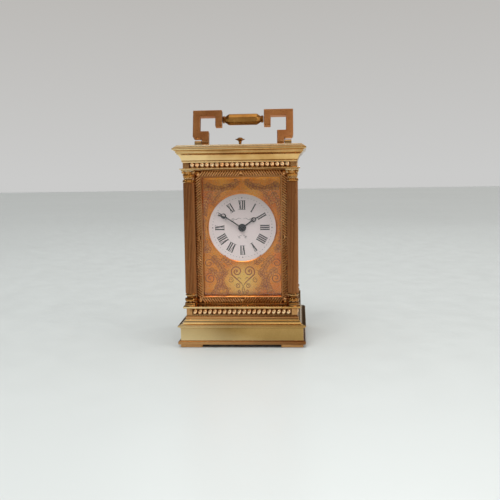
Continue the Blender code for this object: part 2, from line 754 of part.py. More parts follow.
CROWN_OUTER, CROWN_RADIUS, CROWN_MIDDLE_Y = 8.5, 7.8, 4.9
contrate_wheel = flat(
    "contrate_wheel",
    [ring_points(CROWN_OUTER, 36, CONTRATE), *crossings(CONTRATE, 1.6, 7.0, 4, 0.6)],
    (3.6, 4.3),
)
crown_shape = bmesh.new()
for i in range(CONTRATE_TEETH):
    angle = 2 * math.pi * (i + 0.37) / CONTRATE_TEETH
    spot = Vector((
        CONTRATE[0] + CROWN_RADIUS * math.cos(angle), CROWN_MIDDLE_Y, CONTRATE[1] + CROWN_RADIUS * math.sin(angle),
    ))
    turn = Matrix.Rotation(-angle, 4, "Y") @ Matrix.Rotation(-math.pi / 2, 4, "X")
    bmesh.ops.create_cone(
        crown_shape, cap_ends=True, segments=4, radius1=0.45 * MM, radius2=0.25 * MM, depth=1.8 * MM,
        matrix=Matrix.Translation(spot * MM) @ turn,
    )
join(
    contrate_wheel,
    add_mesh("crown_teeth", crown_shape, cutters),
    arbor("contrate_arbor", CONTRATE, 0.7, ARBOR_Y),
    pinion("contrate_pinion", CONTRATE, CONTRATE_PINION, THIRD_MODULE, contrate_pinion_phase, (-0.2, 2.0)),
)
dress(place(contrate_wheel, (CONTRATE[0], 0, CONTRATE[1])), "movement_brass")

# ---------------------------------------------------------------- platform escapement
platform = block("platform", (-17.0, 17.0), (-12.6, 12.0), PLATFORM_Z)
cut(platform, rod("escape_hole", 1.4, (0, ESCAPE_Y, 112), (0, ESCAPE_Y, 116), 12, cutters))
join(
    platform,
    block("balance_cock_foot", (10.5, 14.5), (BALANCE_Y - 3.0, BALANCE_Y + 3.0), (114.3, 125.4), cutters),
    block("balance_cock_arm", (-2.2, 12.0), (BALANCE_Y - 1.8, BALANCE_Y + 1.8), (124.2, 125.6), cutters),
    block("escape_cock_foot", (-14.0, -10.0), (6.2, 10.2), (114.3, 121.2), cutters),
    block("escape_cock_arm", (-11.0, 1.8), (6.6, 9.6), (120.1, 121.4), cutters),
)
dress(platform, "movement_brass")

escape_points = []
for i in range(15):
    angle = 2 * math.pi * i / 15
    for radius, turn in ((4.2, 0.0), (4.1, 0.05), (3.2, 0.16), (3.2, 0.34)):
        escape_points.append((radius * math.cos(angle + turn), ESCAPE_Y + radius * math.sin(angle + turn)))
escape_wheel = flat("escape_wheel", [escape_points], (116.8, 117.4), "XY")
join(
    escape_wheel,
    rod("escape_arbor", 0.5, (0, ESCAPE_Y, 109.0), (0, ESCAPE_Y, 119.8), 8, cutters),
    rod("escape_pinion", 0.9, (0, ESCAPE_Y, 109.0), (0, ESCAPE_Y, 111.6), 8, cutters),
)
dress(place(escape_wheel, (0, ESCAPE_Y, 117.1)), "movement_brass")

LEVER_OUTLINE = (
    (-2.6, 3.3), (-2.6, 2.4), (-0.7, 1.5), (-0.35, -0.9), (-0.9, -1.5), (-0.9, -2.3), (-0.35, -2.3),
    (-0.25, -1.7), (0.25, -1.7), (0.35, -2.3), (0.9, -2.3), (0.9, -1.5), (0.35, -0.9), (0.7, 1.5),
    (2.6, 2.4), (2.6, 3.3), (1.9, 3.3), (0.9, 2.9), (-0.9, 2.9), (-1.9, 3.3),
)
pallet_lever = flat("pallet_lever", [LEVER_OUTLINE], (118.2, 118.9), "XY")
join(pallet_lever, rod("pallet_arbor", 0.45, (0, PALLET_Y, 115.1), (0, PALLET_Y, 120.0), 8, cutters))
dress(place(pallet_lever, (0, PALLET_Y, 118.5)), "steel")

balance_centre = (0.0, BALANCE_Y)
balance_wheel = flat(
    "balance_wheel",
    [ring_points(7.8, 40, balance_centre), *crossings(balance_centre, 1.3, 6.6, 3, 0.5)],
    (121.0, 121.9), "XY",
)
join(
    balance_wheel,
    rod("balance_staff", 0.5, (0, BALANCE_Y, 115.1), (0, BALANCE_Y, 123.9), 8, cutters),
    rod("balance_roller", 1.1, (0, BALANCE_Y, 119.3), (0, BALANCE_Y, 120.1), 12, cutters),
)
dress(place(balance_wheel, (0, BALANCE_Y, 121.4)), "movement_brass")


def wire(name, points, radius, bevel, look):
    curve = bpy.data.curves.new(name, "CURVE")
    curve.dimensions = "3D"
    curve.bevel_depth = radius * MM
    curve.bevel_resolution = bevel
    curve.use_fill_caps = True
    spline = curve.splines.new("POLY")
    spline.points.add(len(points) - 1)
    for point, spot in zip(spline.points, points):
        point.co = (*(Vector(spot) * MM), 1)
    obj = bpy.data.objects.new(name, curve)
    clock.objects.link(obj)
    return dress(obj, look)


SPRING_TURNS, SPRING_STEPS = 3, 20
spring_points = []
for i in range(SPRING_TURNS * SPRING_STEPS + 1):
    turn = 2 * math.pi * i / SPRING_STEPS
    reach = 1.1 + 3.3 * i / (SPRING_TURNS * SPRING_STEPS)
    spring_points.append((reach * math.cos(turn), BALANCE_Y + reach * math.sin(turn), 122.9))
wire("hairspring", spring_points, 0.14, 0, "blued_steel")

# ---------------------------------------------------------------- striking train
SECOND_TEETH, SECOND_MODULE = 40, 0.33
STRIKE_THIRD_PINION = 8
STRIKE_THIRD_TEETH, STRIKE_THIRD_MODULE = 36, 0.32
FLY_PINION = 8
second_pinion_phase = 0.13
strike_phase = meshed(STRIKE_SECOND, BARREL_PINION, second_pinion_phase, STRIKE_BARREL, BARREL_TEETH)
second_phase = 0.0
strike_third_pinion_phase = meshed(STRIKE_SECOND, SECOND_TEETH, second_phase, STRIKE_THIRD, STRIKE_THIRD_PINION)
strike_third_phase = 0.0
fly_phase = meshed(STRIKE_THIRD, STRIKE_THIRD_TEETH, strike_third_phase, FLY, FLY_PINION)

barrel("strike_barrel", STRIKE_BARREL, strike_phase)

strike_second_wheel = wheel(
    "strike_second_wheel", STRIKE_SECOND, SECOND_TEETH, SECOND_MODULE, second_phase, (5.2, 6.1), 1.1,
)
join(
    strike_second_wheel,
    arbor("strike_second_arbor", STRIKE_SECOND, 0.9, ARBOR_Y),
    pinion(
        "strike_second_pinion", STRIKE_SECOND, BARREL_PINION, BARREL_MODULE, second_pinion_phase, (-9.8, -7.2),
    ),
)
dress(place(strike_second_wheel, (STRIKE_SECOND[0], 0, STRIKE_SECOND[1])), "movement_brass")

strike_third_wheel = wheel(
    "strike_third_wheel", STRIKE_THIRD, STRIKE_THIRD_TEETH, STRIKE_THIRD_MODULE, strike_third_phase, (-2.0, -1.2),
    1.0,
)
join(
    strike_third_wheel,
    arbor("strike_third_arbor", STRIKE_THIRD, 0.7, ARBOR_Y),
    pinion("strike_third_pinion", STRIKE_THIRD, STRIKE_THIRD_PINION, SECOND_MODULE, strike_third_pinion_phase,
           (4.7, 6.6)),
)
dress(place(strike_third_wheel, (STRIKE_THIRD[0], 0, STRIKE_THIRD[1])), "movement_brass")

fly = block("fly", (FLY[0] - 5.5, FLY[0] + 5.5), (0.5, 8.5), (FLY[1] - 0.35, FLY[1] + 0.35))
join(
    fly,
    arbor("fly_arbor", FLY, 0.7, ARBOR_Y),
    pinion("fly_pinion", FLY, FLY_PINION, STRIKE_THIRD_MODULE, fly_phase, (-2.6, -0.6)),
)
dress(place(fly, (FLY[0], 0, FLY[1])), "movement_brass")

HAMMER_TOP = (26.4, 60.0)
hammer = arbor("hammer", HAMMER, 0.9, (ARBOR_Y[0], 16.5))
clock.objects.link(hammer)
cutters.objects.unlink(hammer)
hammer.hide_render = False
hammer.display_type = "TEXTURED"
along = Vector((HAMMER_TOP[0] - HAMMER[0], HAMMER_TOP[1] - HAMMER[1])).normalized()
across = Vector((-along[1], along[0])) * 0.9
arm_loop = [
    (HAMMER[0] + across[0], HAMMER[1] + across[1]), (HAMMER[0] - across[0], HAMMER[1] - across[1]),
    (HAMMER_TOP[0] - across[0], HAMMER_TOP[1] - across[1]), (HAMMER_TOP[0] + across[0], HAMMER_TOP[1] + across[1]),
]
join(
    hammer,
    flat("hammer_arm", [arm_loop], (14.2, 15.6), home=cutters),
    block("hammer_head", (24.9, 27.6), (13.6, 16.2), (58.6, 62.6), cutters),
)
dress(place(hammer, (HAMMER[0], 0, HAMMER[1])), "steel")

GONG_OUTER, GONG_PITCH, GONG_STEPS = 23.5, 3.0, 28
gong_points = [(0.0, 16.0, 31.5), (0.0, 16.0, 35.2)]
for i in range(2 * GONG_STEPS + 1):
    turn = -math.pi / 2 + math.radians(4.0) + 2 * math.pi * i / GONG_STEPS
    reach = GONG_OUTER - GONG_PITCH * i / GONG_STEPS
    gong_points.append((
        GONG_CENTRE[0] + reach * math.cos(turn), 16.0, GONG_CENTRE[1] + reach * math.sin(turn),
    ))
wire("gong", gong_points, 0.6, 0, "steel")
gong_block = block("gong_block", (-5.0, 5.0), (13.2, 18.8), (29.3, 34.4))
cut(gong_block, rod("gong_hole", 1.1, (0, 16, 28), (0, 16, 36), 12, cutters))
dress(gong_block, "movement_brass")

# ---------------------------------------------------------------- repeat work
REPEAT_OUTLINE = (
    (12.4, 110.0), (-1.6, 109.0), (-1.6, 130.7), (1.6, 130.7), (1.6, 112.0), (13.0, 112.0), (15.0, 112.0),
    (20.5, 105.5), (19.0, 104.2), (14.6, 108.4),
)
repeat_lever = flat("repeat_lever", [REPEAT_OUTLINE], (-15.8, -14.8))
join(
    repeat_lever,
    block("repeat_pad", (-3.2, 3.2), (-27.4, -15.0), (129.7, 130.7), cutters),
    rod("repeat_pivot", 1.0, (LEVER_PIVOT[0], -16.2, LEVER_PIVOT[1]), (LEVER_PIVOT[0], -13.3, LEVER_PIVOT[1]), 12,
        cutters),
)
dress(place(repeat_lever, (LEVER_PIVOT[0], -15.3, LEVER_PIVOT[1])), "steel")
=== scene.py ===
"""Looks of the brass carriage clock: case, glazing, dial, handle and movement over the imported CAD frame.

Shapes are made in millimetres and become metres when a mesh is made. +X is right, +Z is up and the dial
faces -Y.
"""
import math

import bmesh
import bpy
from mathutils import Matrix, Vector


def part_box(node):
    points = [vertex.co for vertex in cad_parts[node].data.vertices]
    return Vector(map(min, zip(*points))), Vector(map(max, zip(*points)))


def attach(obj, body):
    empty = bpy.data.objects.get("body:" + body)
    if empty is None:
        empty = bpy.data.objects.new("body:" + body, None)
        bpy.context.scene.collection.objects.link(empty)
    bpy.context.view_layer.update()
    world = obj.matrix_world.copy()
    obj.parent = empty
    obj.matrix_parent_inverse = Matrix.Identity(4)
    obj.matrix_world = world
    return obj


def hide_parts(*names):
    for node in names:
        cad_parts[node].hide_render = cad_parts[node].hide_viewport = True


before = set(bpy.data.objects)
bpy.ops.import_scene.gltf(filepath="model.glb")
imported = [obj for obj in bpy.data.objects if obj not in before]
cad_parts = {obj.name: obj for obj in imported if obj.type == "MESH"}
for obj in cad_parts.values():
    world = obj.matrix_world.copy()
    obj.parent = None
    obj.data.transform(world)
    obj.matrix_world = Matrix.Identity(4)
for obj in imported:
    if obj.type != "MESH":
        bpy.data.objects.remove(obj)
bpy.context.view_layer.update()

MM = 0.001
TURN = 2 * math.pi

# Case: it is as deep as it is wide, less twice the inset
DEPTH_INSET = 5.0
INSIDE_X = 33.0
COLUMN_X = 37.1
COLUMN_Y = 32.1
BEAD_PITCH = 3.57
BEADS_FRONT = 20
BEADS_SIDE = 17
REEDS = 22
FOOT_SIZE = 16.0
TOP_OPENING = (24.0, 18.5)

# Dial
DIAL_Z = 85.1
MASK_FACE_Y = -18.6
LINE_SCALE = 1.45
NUMERAL_IN = 13.2
NUMERAL_OUT = 20.1
SERIF = 0.2
MINUTE_RADIUS = 21.9
MINUTE_DEG = 303.0
HOUR_DEG = 55.25

# Movement
PLATFORM_TOP = 114.8
PILLAR_X = 22.5
PILLAR_Z = (34.0, 108.0)

# Handle and button
PIVOT_Z = 148.3
GRIP_Z = 166.2
LEAN_DEG = 15.0
ARM_HALF_THICKNESS = 2.7

# Ridges of the rope border
RIDGE_PITCH = 1.9
RIDGE_SLANT_DEG = 38.0
RIDGE_RADII = (0.6, 0.85, 2.5)
BAND_INSET = 2.5

# Lips of the frames' bars as (inwards, forwards) points
OUTER_LIP = ((0, 0), (0, 1.6), (0.15, 1.75), (0.35, 1.75), (0.4, 0.8))
FRONT_LIP = ((4.6, 0.8), (4.7, 1.5), (5.1, 1.5), (5.5, 0.9), (5.5, 0))
SIDE_LIP = ((4.1, 0.8), (4.15, 1.4), (4.4, 1.4), (4.45, 0.6), (4.45, 0))

# Metres: what the lamps point at
CLOCK_MIDDLE = (0, 0, 0.08)


# --- shapes


def box_mm(name):
    """Low corner, high corner, size and centre of a CAD node at rest, in millimetres."""
    low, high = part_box(name)
    low, high = low / MM, high / MM
    return low, high, high - low, (high + low) / 2


def profile(points, steps=6):
    """Points in a plane; a third number bows the stretch that leads to a point, to its left."""
    made = [Vector(points[0][:2])]
    for before, after in zip(points, points[1:]):
        start = Vector(before[:2])
        chord = Vector(after[:2]) - start
        if len(after) == 3:
            side = Vector((-chord.y, chord.x)).normalized()
            for i in range(1, steps):
                t = i / steps
                made.append(start + chord * t + side * (after[2] * 4 * t * (1 - t)))
        made.append(Vector(after[:2]))
    return [tuple(point) for point in made]


def smooth_line(points, steps=6):
    """A Catmull-Rom line through the points."""
    ends = [Vector(points[0]) * 2 - Vector(points[1])]
    ends += [Vector(p) for p in points]
    ends.append(Vector(points[-1]) * 2 - Vector(points[-2]))
    line = []
    for a, b, c, d in zip(ends, ends[1:], ends[2:], ends[3:]):
        for i in range(steps):
            t = i / steps
            bend = (2 * a - 5 * b + 4 * c - d) * t ** 2 + (3 * b - a - 3 * c + d) * t ** 3
            line.append(0.5 * (2 * b + (c - a) * t + bend))
    line.append(ends[-2])
    return [tuple(p) for p in line]


def loft(rings, cyclic=False):
    """A closed skin over rings of equally many points: joined into a loop, or capped at both ends."""
    size = len(rings[0])
    count = len(rings)
    verts = [point for ring in rings for point in ring]
    faces = []
    for i in range(count if cyclic else count - 1):
        a, b = i * size, (i + 1) % count * size
        for j in range(size):
            k = (j + 1) % size
            faces.append((a + j, a + k, b + k, b + j))
    if not cyclic:
        faces.append(tuple(reversed(range(size))))
        faces.append(tuple((count - 1) * size + j for j in range(size)))
    return verts, faces


def moved(shape, matrix):
    verts, faces = shape
    return [tuple(matrix @ Vector(v)) for v in verts], faces


def shifted(shape, x=0.0, y=0.0, z=0.0):
    return moved(shape, Matrix.Translation((x, y, z)))


def turned_about(shape, axis, degrees, centre=(0, 0, 0)):
    there = Matrix.Translation(centre)
    return moved(shape, there @ Matrix.Rotation(math.radians(degrees), 4, axis) @ there.inverted())


def joined(shapes):
    verts, faces = [], []
    for shape_verts, shape_faces in shapes:
        start = len(verts)
        verts += shape_verts
        faces += [tuple(start + i for i in face) for face in shape_faces]
    return verts, faces


def rectangle(half_x, half_y, z, corner=0.35, steps=3):
    """A ring with rounded corners."""
    points = []
    for quarter, (sx, sy) in enumerate(((1, 1), (-1, 1), (-1, -1), (1, -1))):
        for i in range(steps + 1):
            angle = TURN / 4 * (quarter + i / steps)
            x = sx * (half_x - corner) + corner * math.cos(angle)
            y = sy * (half_y - corner) + corner * math.sin(angle)
            points.append((x, y, z))
    return points


def block(low, high, radius=0.3, steps=3):
    """A box with all its edges rounded."""
    half = [(b - a) / 2 for a, b in zip(low, high)]
    centre = [(b + a) / 2 for a, b in zip(low, high)]
    levels = []
    for i in range(steps + 1):
        angle = TURN / 4 * i / steps
        levels.append((radius * (1 - math.sin(angle)), half[2] - radius * (1 - math.cos(angle))))
    rings = []
    for inset, up in [(a, -b) for a, b in levels] + list(reversed(levels)):
        rings.append(rectangle(half[0] - inset, half[1] - inset, up, max(radius - inset, 0.02)))
    return shifted(loft(rings), *centre)


def lathe(points, sides=40, ripple=None):
    """A solid of revolution about Z from (radius, height) points; ripple adds to the radius."""
    rings = []
    for radius, up in points:
        ring = []
        for j in range(sides):
            angle = TURN * j / sides
            r = radius + (ripple(angle, up) if ripple else 0)
            ring.append((r * math.cos(angle), r * math.sin(angle), up))
        rings.append(ring)
    return loft(rings)


def moulding(outer, inner, corner=0.35):
    """A ring round the case from its outer profile, upwards, and its inner one, downwards."""
    rings = [rectangle(w, w - DEPTH_INSET, z, corner) for w, z in (*outer, *inner)]
    return loft(rings, cyclic=True)


def surround(section, half_x, half_z, corner=0.35):
    """An upright frame about the origin, facing -Y, from (inwards, forwards) points round its bar."""
    loops = []
    for inwards, forwards in section:
        ring = rectangle(half_x - inwards, half_z - inwards, 0, corner)
        loops.append([(x, -forwards, z) for x, z, _ in ring])
    return loft(loops, cyclic=True)


def pane(half_x, half_z, thick, bevel, bevel_depth):
    """A bevelled glass about the origin, with its bevel towards -Y and its back at y = 0."""
    levels = ((0.15, 0.0), (0.0, 0.15), (0.0, thick - bevel_depth), (bevel, thick))
    rings = []
    for inwards, forwards in levels:
        ring = rectangle(half_x - inwards, half_z - inwards, 0, 0.4)
        rings.append([(x, -forwards, z) for x, z, _ in ring])
    return loft(rings)


def prism(outline, front, back):
    """An (x, z) outline made solid between two y values."""
    return loft([[(x, front, z) for x, z in outline], [(x, back, z) for x, z in outline]])


def sheet(outlines, front, back, edge=0.15, steps=1):
    """Outlines in (x, z), with holes, cut from a sheet between two y values, with rounded edges."""
    curve = bpy.data.curves.new("sheet", "CURVE")
    curve.dimensions = "2D"
    curve.fill_mode = "BOTH"
    curve.extrude = (back - front) / 2 - edge
    curve.bevel_depth = edge
    curve.bevel_resolution = steps
    curve.offset = -edge
    for outline in outlines:
        spline = curve.splines.new("POLY")
        spline.points.add(len(outline) - 1)
        for point, (x, z) in zip(spline.points, outline):
            point.co = (x, z, 0, 1)
        spline.use_cyclic_u = True
    holder = bpy.data.objects.new("sheet", curve)
    bpy.context.scene.collection.objects.link(holder)
    bpy.context.view_layer.update()
    mesh = bpy.data.meshes.new_from_object(holder.evaluated_get(bpy.context.evaluated_depsgraph_get()))
    body = bmesh.new()
    body.from_mesh(mesh)
    bmesh.ops.remove_doubles(body, verts=body.verts, dist=0.002)
    bmesh.ops.dissolve_degenerate(body, edges=body.edges, dist=0.001)
    bmesh.ops.dissolve_limit(body, angle_limit=math.radians(0.5), verts=body.verts, edges=body.edges)
    body.verts.index_update()
    middle = (front + back) / 2
    verts = [(v.co.x, middle - v.co.z, v.co.y) for v in body.verts]
    faces = [tuple(v.index for v in face.verts) for face in body.faces]
    body.free()
    bpy.data.objects.remove(holder)
    bpy.data.curves.remove(curve)
    bpy.data.meshes.remove(mesh)
    return verts, faces


def arc(radius, start, sweep, count, centre=(0.0, 0.0)):
    """Points on a circle at equal steps of a sweep, its first and last included."""
    angles = [start + sweep * i / count for i in range(count + 1)]
    return [(centre[0] + radius * math.cos(a), centre[1] + radius * math.sin(a)) for a in angles]


def circle(radius, count, centre=(0.0, 0.0), start=0.0):
    return arc(radius, start, TURN, count, centre)[:-1]


def rope(start, end, hand):
    """A border of slanted ridges from one (x, z) point to another, standing out towards -Y from y = 0."""
    start, end = Vector(start), Vector(end)
    length = (end - start).length
    along = (end - start) / length
    count = round(length / RIDGE_PITCH)
    upwards = abs(along.y) > abs(along.x)
    tilt = (90 if upwards else 0) + hand * RIDGE_SLANT_DEG
    ridges = []
    for i in range(count):
        middle = start + along * (length * (i + 0.5) / count)
        ridges.append(ball(RIDGE_RADII, (middle.x, 0, middle.y), tilt, rows=10, sides=10, blunt=0.55))
    return joined(ridges)


def ribbon(line, width, y, rise=0.06):
    """A fine line of tapering ends along (x, z) points, standing out a little from the plane y."""
    rings = []
    last = len(line) - 1
    for i, (x, z) in enumerate(line):
        before, after = line[max(i - 1, 0)], line[min(i + 1, last)]
        direction = Vector((after[0] - before[0], after[1] - before[1])).normalized()
        t = i / last
        half = width / 2 * (0.35 + 0.65 * min(1.0, 5 * t, 5 * (1 - t)))
        nx, nz = -direction.y * half, direction.x * half
        rings.append([(x + nx, y, z + nz), (x, y - rise, z), (x - nx, y, z - nz), (x, y + 0.03, z)])
    return loft(rings)


def leaf(width, height, curl, thick=0.35):
    """An upright leaf with lobed sides and a tip that bends outwards: across is X, out is Y, up is Z."""
    rings = []
    rows, columns = 10, 6
    for i in range(rows + 1):
        v = i / rows
        lobes = 1 + 0.13 * math.cos(TURN * 2.5 * v)
        half = width / 2 * max(0.12, math.sin(math.pi * (0.22 + 0.76 * v)) ** 0.7) * lobes
        out = curl * v ** 2.6
        up = height * (v - 0.16 * v ** 5)
        front, rear = [], []
        for j in range(columns + 1):
            u = 2 * j / columns - 1
            rib = 0.22 * math.exp(-((u / 0.22) ** 2)) + 0.1 * math.cos(3 * math.pi * u) - 0.25 * u * u
            front.append((u * half, out + thick / 2 + rib * thick * 1.6, up))
            rear.append((u * half * 0.96, out - thick / 2 - 0.2 * u * u, up))
        rings.append(front + list(reversed(rear)))
    return loft(rings)


def around(shape, count, radius, z, phase=0.0):
    """Copies of a shape whose Y points outwards, evenly round a vertical axis."""
    copies = []
    out = Matrix.Translation((0, radius, 0))
    for i in range(count):
        turn = Matrix.Rotation(phase + TURN * i / count - TURN / 4, 4, "Z")
        copies.append(moved(shape, Matrix.Translation((0, 0, z)) @ turn @ out))
    return copies


def ball(radii, centre, tilt=0.0, rows=8, sides=14, egg=0.0, blunt=1.0):
    """A bead: egg widens its lower end, blunt below 1 fills out its ends, and tilt turns it about Y."""
    rings = []
    for i in range(1, rows):
        angle = math.pi * i / rows
        up = -math.cos(angle)
        swell = math.sin(angle) ** blunt * (1 - egg * up)
        rings.append([(radii[0] * x, radii[1] * y, radii[2] * up) for x, y in circle(swell, sides)])
    return shifted(turned_about(loft(rings), "Y", tilt), *centre)


def screw(radius, height, slot=0.25):
    """A domed screw head about Z with a slot: two half heads on a thin washer."""
    half_angle = math.asin(slot / radius)
    shapes = [lathe(((radius * 0.96, -0.05), (radius * 0.96, height * 0.35)), 24)]
    for side in (1, -1):
        rings = []
        for scale, up in ((1.0, 0.0), (1.0, height * 0.55), (0.86, height * 0.9), (0.6, height)):
            rim = arc(radius * scale, half_angle, math.pi - 2 * half_angle, 10)
            rings.append([(side * x, side * max(y, slot), up) for x, y in rim])
        shapes.append(loft(rings))
    return joined(shapes)


def upright(shape, facing):
    """Turns a shape made facing -Y to face left, right, back or up."""
    turns = {"front": ("Z", 0), "left": ("Z", -90), "right": ("Z", 90), "back": ("Z", 180), "up": ("X", -90)}
    return turned_about(shape, *turns[facing])


def outwards(shape, facing):
    """Turns a shape made about Z, with its top at +Z, to point its top the way given."""
    turns = {"front": ("X", 90), "back": ("X", -90), "left": ("Y", -90), "right": ("Y", 90)}
    return turned_about(shape, *turns[facing])


def piece(name, groups, body="case", replaces=(), sharp=38):
    """One object from (material, shapes) groups, riding on a body."""
    verts, faces, slots = [], [], []
    mesh = bpy.data.meshes.new(name)
    for index, (material, shapes) in enumerate(groups):
        mesh.materials.append(material)
        group_verts, group_faces = joined(shapes)
        start = len(verts)
        verts += [(x * MM, y * MM, z * MM) for x, y, z in group_verts]
        faces += [tuple(start + i for i in face) for face in group_faces]
        slots += [index] * len(group_faces)
    mesh.from_pydata(verts, [], faces)
    mesh.polygons.foreach_set("material_index", slots)
    body_mesh = bmesh.new()
    body_mesh.from_mesh(mesh)
    bmesh.ops.recalc_face_normals(body_mesh, faces=body_mesh.faces)
    body_mesh.to_mesh(mesh)
    body_mesh.free()
    mesh.shade_smooth()
    mesh.set_sharp_from_angle(angle=math.radians(sharp))
    made = bpy.data.objects.new(name, mesh)
    bpy.context.scene.collection.objects.link(made)
    weighted = made.modifiers.new("flat_faces", "WEIGHTED_NORMAL")
    weighted.keep_sharp = True
    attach(made, body)
    if replaces:
        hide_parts(*replaces)
    return made


# --- materials


def linear(red, green, blue):
    """A colour given as it looks on screen, 0 to 255, as the light that a shader takes."""
    values = []
    for value in (red, green, blue):
        value /= 255
        values.append(value / 12.92 if value <= 0.04045 else ((value + 0.055) / 1.055) ** 2.4)
    return (*values, 1.0)


def fill(tree, made, inputs):
    """Gives a node's inputs their values, or links them where the value is another node's output."""
    for name, value in inputs.items():
        if hasattr(value, "is_output"):
            tree.links.new(value, made.inputs[name])
        else:
            made.inputs[name].default_value = value


def node(tree, kind, inputs=None, **settings):
    made = tree.nodes.new("ShaderNode" + kind)
    for name, value in settings.items():
        setattr(made, name, value)
    fill(tree, made, inputs or {})
    return made


def noise(tree, place, scale, detail=3.0, stretch=(1, 1, 1)):
    """Noise in the part's own space; scale is in patches per metre."""
    mapping = node(tree, "Mapping", {"Scale": stretch, "Vector": place})
    inputs = {"Scale": scale, "Detail": detail, "Vector": mapping.outputs[0]}
    return node(tree, "TexNoise", inputs).outputs["Fac"]


def ramp(tree, value, stops):
    made = node(tree, "ValToRGB", {"Fac": value})
    elements = made.color_ramp.elements
    for element, (position, colour) in ((elements[0], stops[0]), (elements[1], stops[-1])):
        element.position = position
        element.color = colour
    for position, colour in stops[1:-1]:
        elements.new(position).color = colour
    return made.outputs["Color"]


def blend(tree, amount, first, second, kind="MIX"):
    """A mix of two colours: sockets 0, 6 and 7 of a mix node are those for colours."""
    inputs = {0: amount, 6: first, 7: second}
    return node(tree, "Mix", inputs, data_type="RGBA", blend_type=kind).outputs[2]


def spread(tree, value, low, high, from_low=0.3, from_high=0.7):
    """A value brought from one range to another."""
    inputs = {"Value": value, "From Min": from_low, "From Max": from_high, "To Min": low, "To Max": high}
    return node(tree, "MapRange", inputs).outputs["Result"]


def new_material(name):
    """A material with its node tree, its shader and the place on the part."""
    material = bpy.data.materials.new(name)
    material.use_nodes = True
    tree = material.node_tree
    return material, tree, tree.nodes["Principled BSDF"], node(tree, "TexCoord").outputs["Object"]


def surface(name, colours, rough, patch=60.0, grain=900.0, stretch=(1, 1, 1), bump=0.15, metal=1.0,
            wear_and_glint=None, stain_and_reflection=None, coat=0.0, mottle=0.35, wear_and_glint_from=0.53, painted_hollow_shade=None, painted_highlight_spot=None):
    """Patches between a dark and a light colour, a fine grain in gloss and height, wear that is partly a
    painted highlight on edges, stains that are partly painted reflection, a painted highlight spot, painted
    shade in hollows.
    """
    material, tree, shader, place = new_material(name)
    dark, light = colours
    patches = noise(tree, place, patch)
    fine = noise(tree, place, grain, 2.0, stretch)
    colour = ramp(tree, patches, ((0.3, dark), (0.7, light)))
    colour = blend(tree, spread(tree, fine, 0.0, mottle), colour, dark)
    # Stain patches; the olive ones on the case brass also stand in for dark reflections, so there they are
    # partly painted reflection.
    if stain_and_reflection:
        stain_and_reflection_noise = noise(tree, place, patch * 2.7, 4.0)
        stain_and_reflection_amount = ramp(tree, stain_and_reflection_noise, ((0.55, (0, 0, 0, 1)), (0.8, (0.6, 0.6, 0.6, 1))))
        colour = blend(tree, stain_and_reflection_amount, colour, stain_and_reflection)
    # Painted highlight: the colour turns paler towards a point, where a reflection falls.
    if painted_highlight_spot:
        centre, radius, highlight_colour = painted_highlight_spot
        inputs = {0: place, 1: [value * MM for value in centre]}
        apart = node(tree, "VectorMath", inputs, operation="DISTANCE").outputs["Value"]
        highlight_amount = spread(tree, apart, 0.85, 0.0, radius * 0.3 * MM, radius * MM)
        colour = blend(tree, highlight_amount, colour, highlight_colour)
    edges = node(tree, "NewGeometry").outputs["Pointiness"]
    # Edge wear that is also a painted highlight: sharp edges, where pointiness is high, turn pale.
    if wear_and_glint:
        colour = blend(tree, spread(tree, edges, 0.0, 0.8, wear_and_glint_from, wear_and_glint_from + 0.08), colour, wear_and_glint)
    # Painted shade: hollows, where pointiness is low, turn towards the dark hollow colour.
    if painted_hollow_shade:
        colour = blend(tree, spread(tree, edges, 0.9, 0.0, 0.42, 0.495), colour, painted_hollow_shade)
    gloss = spread(tree, fine, *rough)
    height = node(tree, "Bump", {"Strength": bump, "Distance": 0.05 * MM, "Height": fine})
    fill(tree, shader, {
        "Base Color": colour, "Roughness": gloss, "Normal": height.outputs["Normal"], "Metallic": metal,
        "Coat Weight": coat, "Coat Roughness": 0.05,
    })
    return material


def clear_glass(name, tint, patch=40.0):
    """Clear glass that lets lamps through, with faint smears in its gloss."""
    material, tree, shader, place = new_material(name)
    smears = noise(tree, place, patch)
    colour = ramp(tree, smears, ((0.3, tint), (0.7, (1, 1, 1, 1))))
    gloss = spread(tree, smears, 0.0, 0.0012)
    fill(tree, shader, {"Transmission Weight": 1.0, "IOR": 1.5, "Base Color": colour, "Roughness": gloss})
    through = node(tree, "BsdfTransparent", {"Color": tint})
    chosen = node(tree, "MixShader")
    path = node(tree, "LightPath")
    fill(tree, chosen, {0: path.outputs["Is Shadow Ray"], 1: shader.outputs[0], 2: through.outputs[0]})
    fill(tree, tree.nodes["Material Output"], {"Surface": chosen.outputs[0]})
    return material


def shades(*colours):
    return [linear(*colour) for colour in colours]


GOLD = shades((194, 144, 80), (236, 196, 132))
# Pale edge colour: edge wear and a painted highlight on the case brass.
GOLD_WEAR_AND_GLINT = linear(255, 230, 176)
# Olive patches: tarnish that also paints dark reflections on the case brass.
OLIVE_STAIN_AND_REFLECTION = linear(168, 118, 44)
LEAF = shades((150, 94, 40), (200, 142, 70))
# Painted shade for the hollows of the leaves.
LEAF_HOLLOW_SHADE = linear(60, 30, 12)
PLINTH = shades((150, 114, 60), (210, 172, 108))
# Beads are painted paler than the brass: a painted highlight.
BEAD_PAINTED_LIGHT = shades((255, 196, 136), (255, 230, 186))
# Painted shade: the dark bed behind the beads and rope ridges.
CHANNEL_SHADE = shades((70, 32, 12), (120, 64, 28))
COPPER = shades((166, 106, 62), (202, 142, 90))
# Pale edge colour: edge wear and a painted highlight on the copper-toned parts.
COPPER_WEAR_AND_GLINT = linear(222, 168, 110)
# A darker coppery tone that is partly a painted reflection of a dark warm room.
SHAFT_TONE_AND_REFLECTION = shades((108, 54, 24), (148, 84, 42))
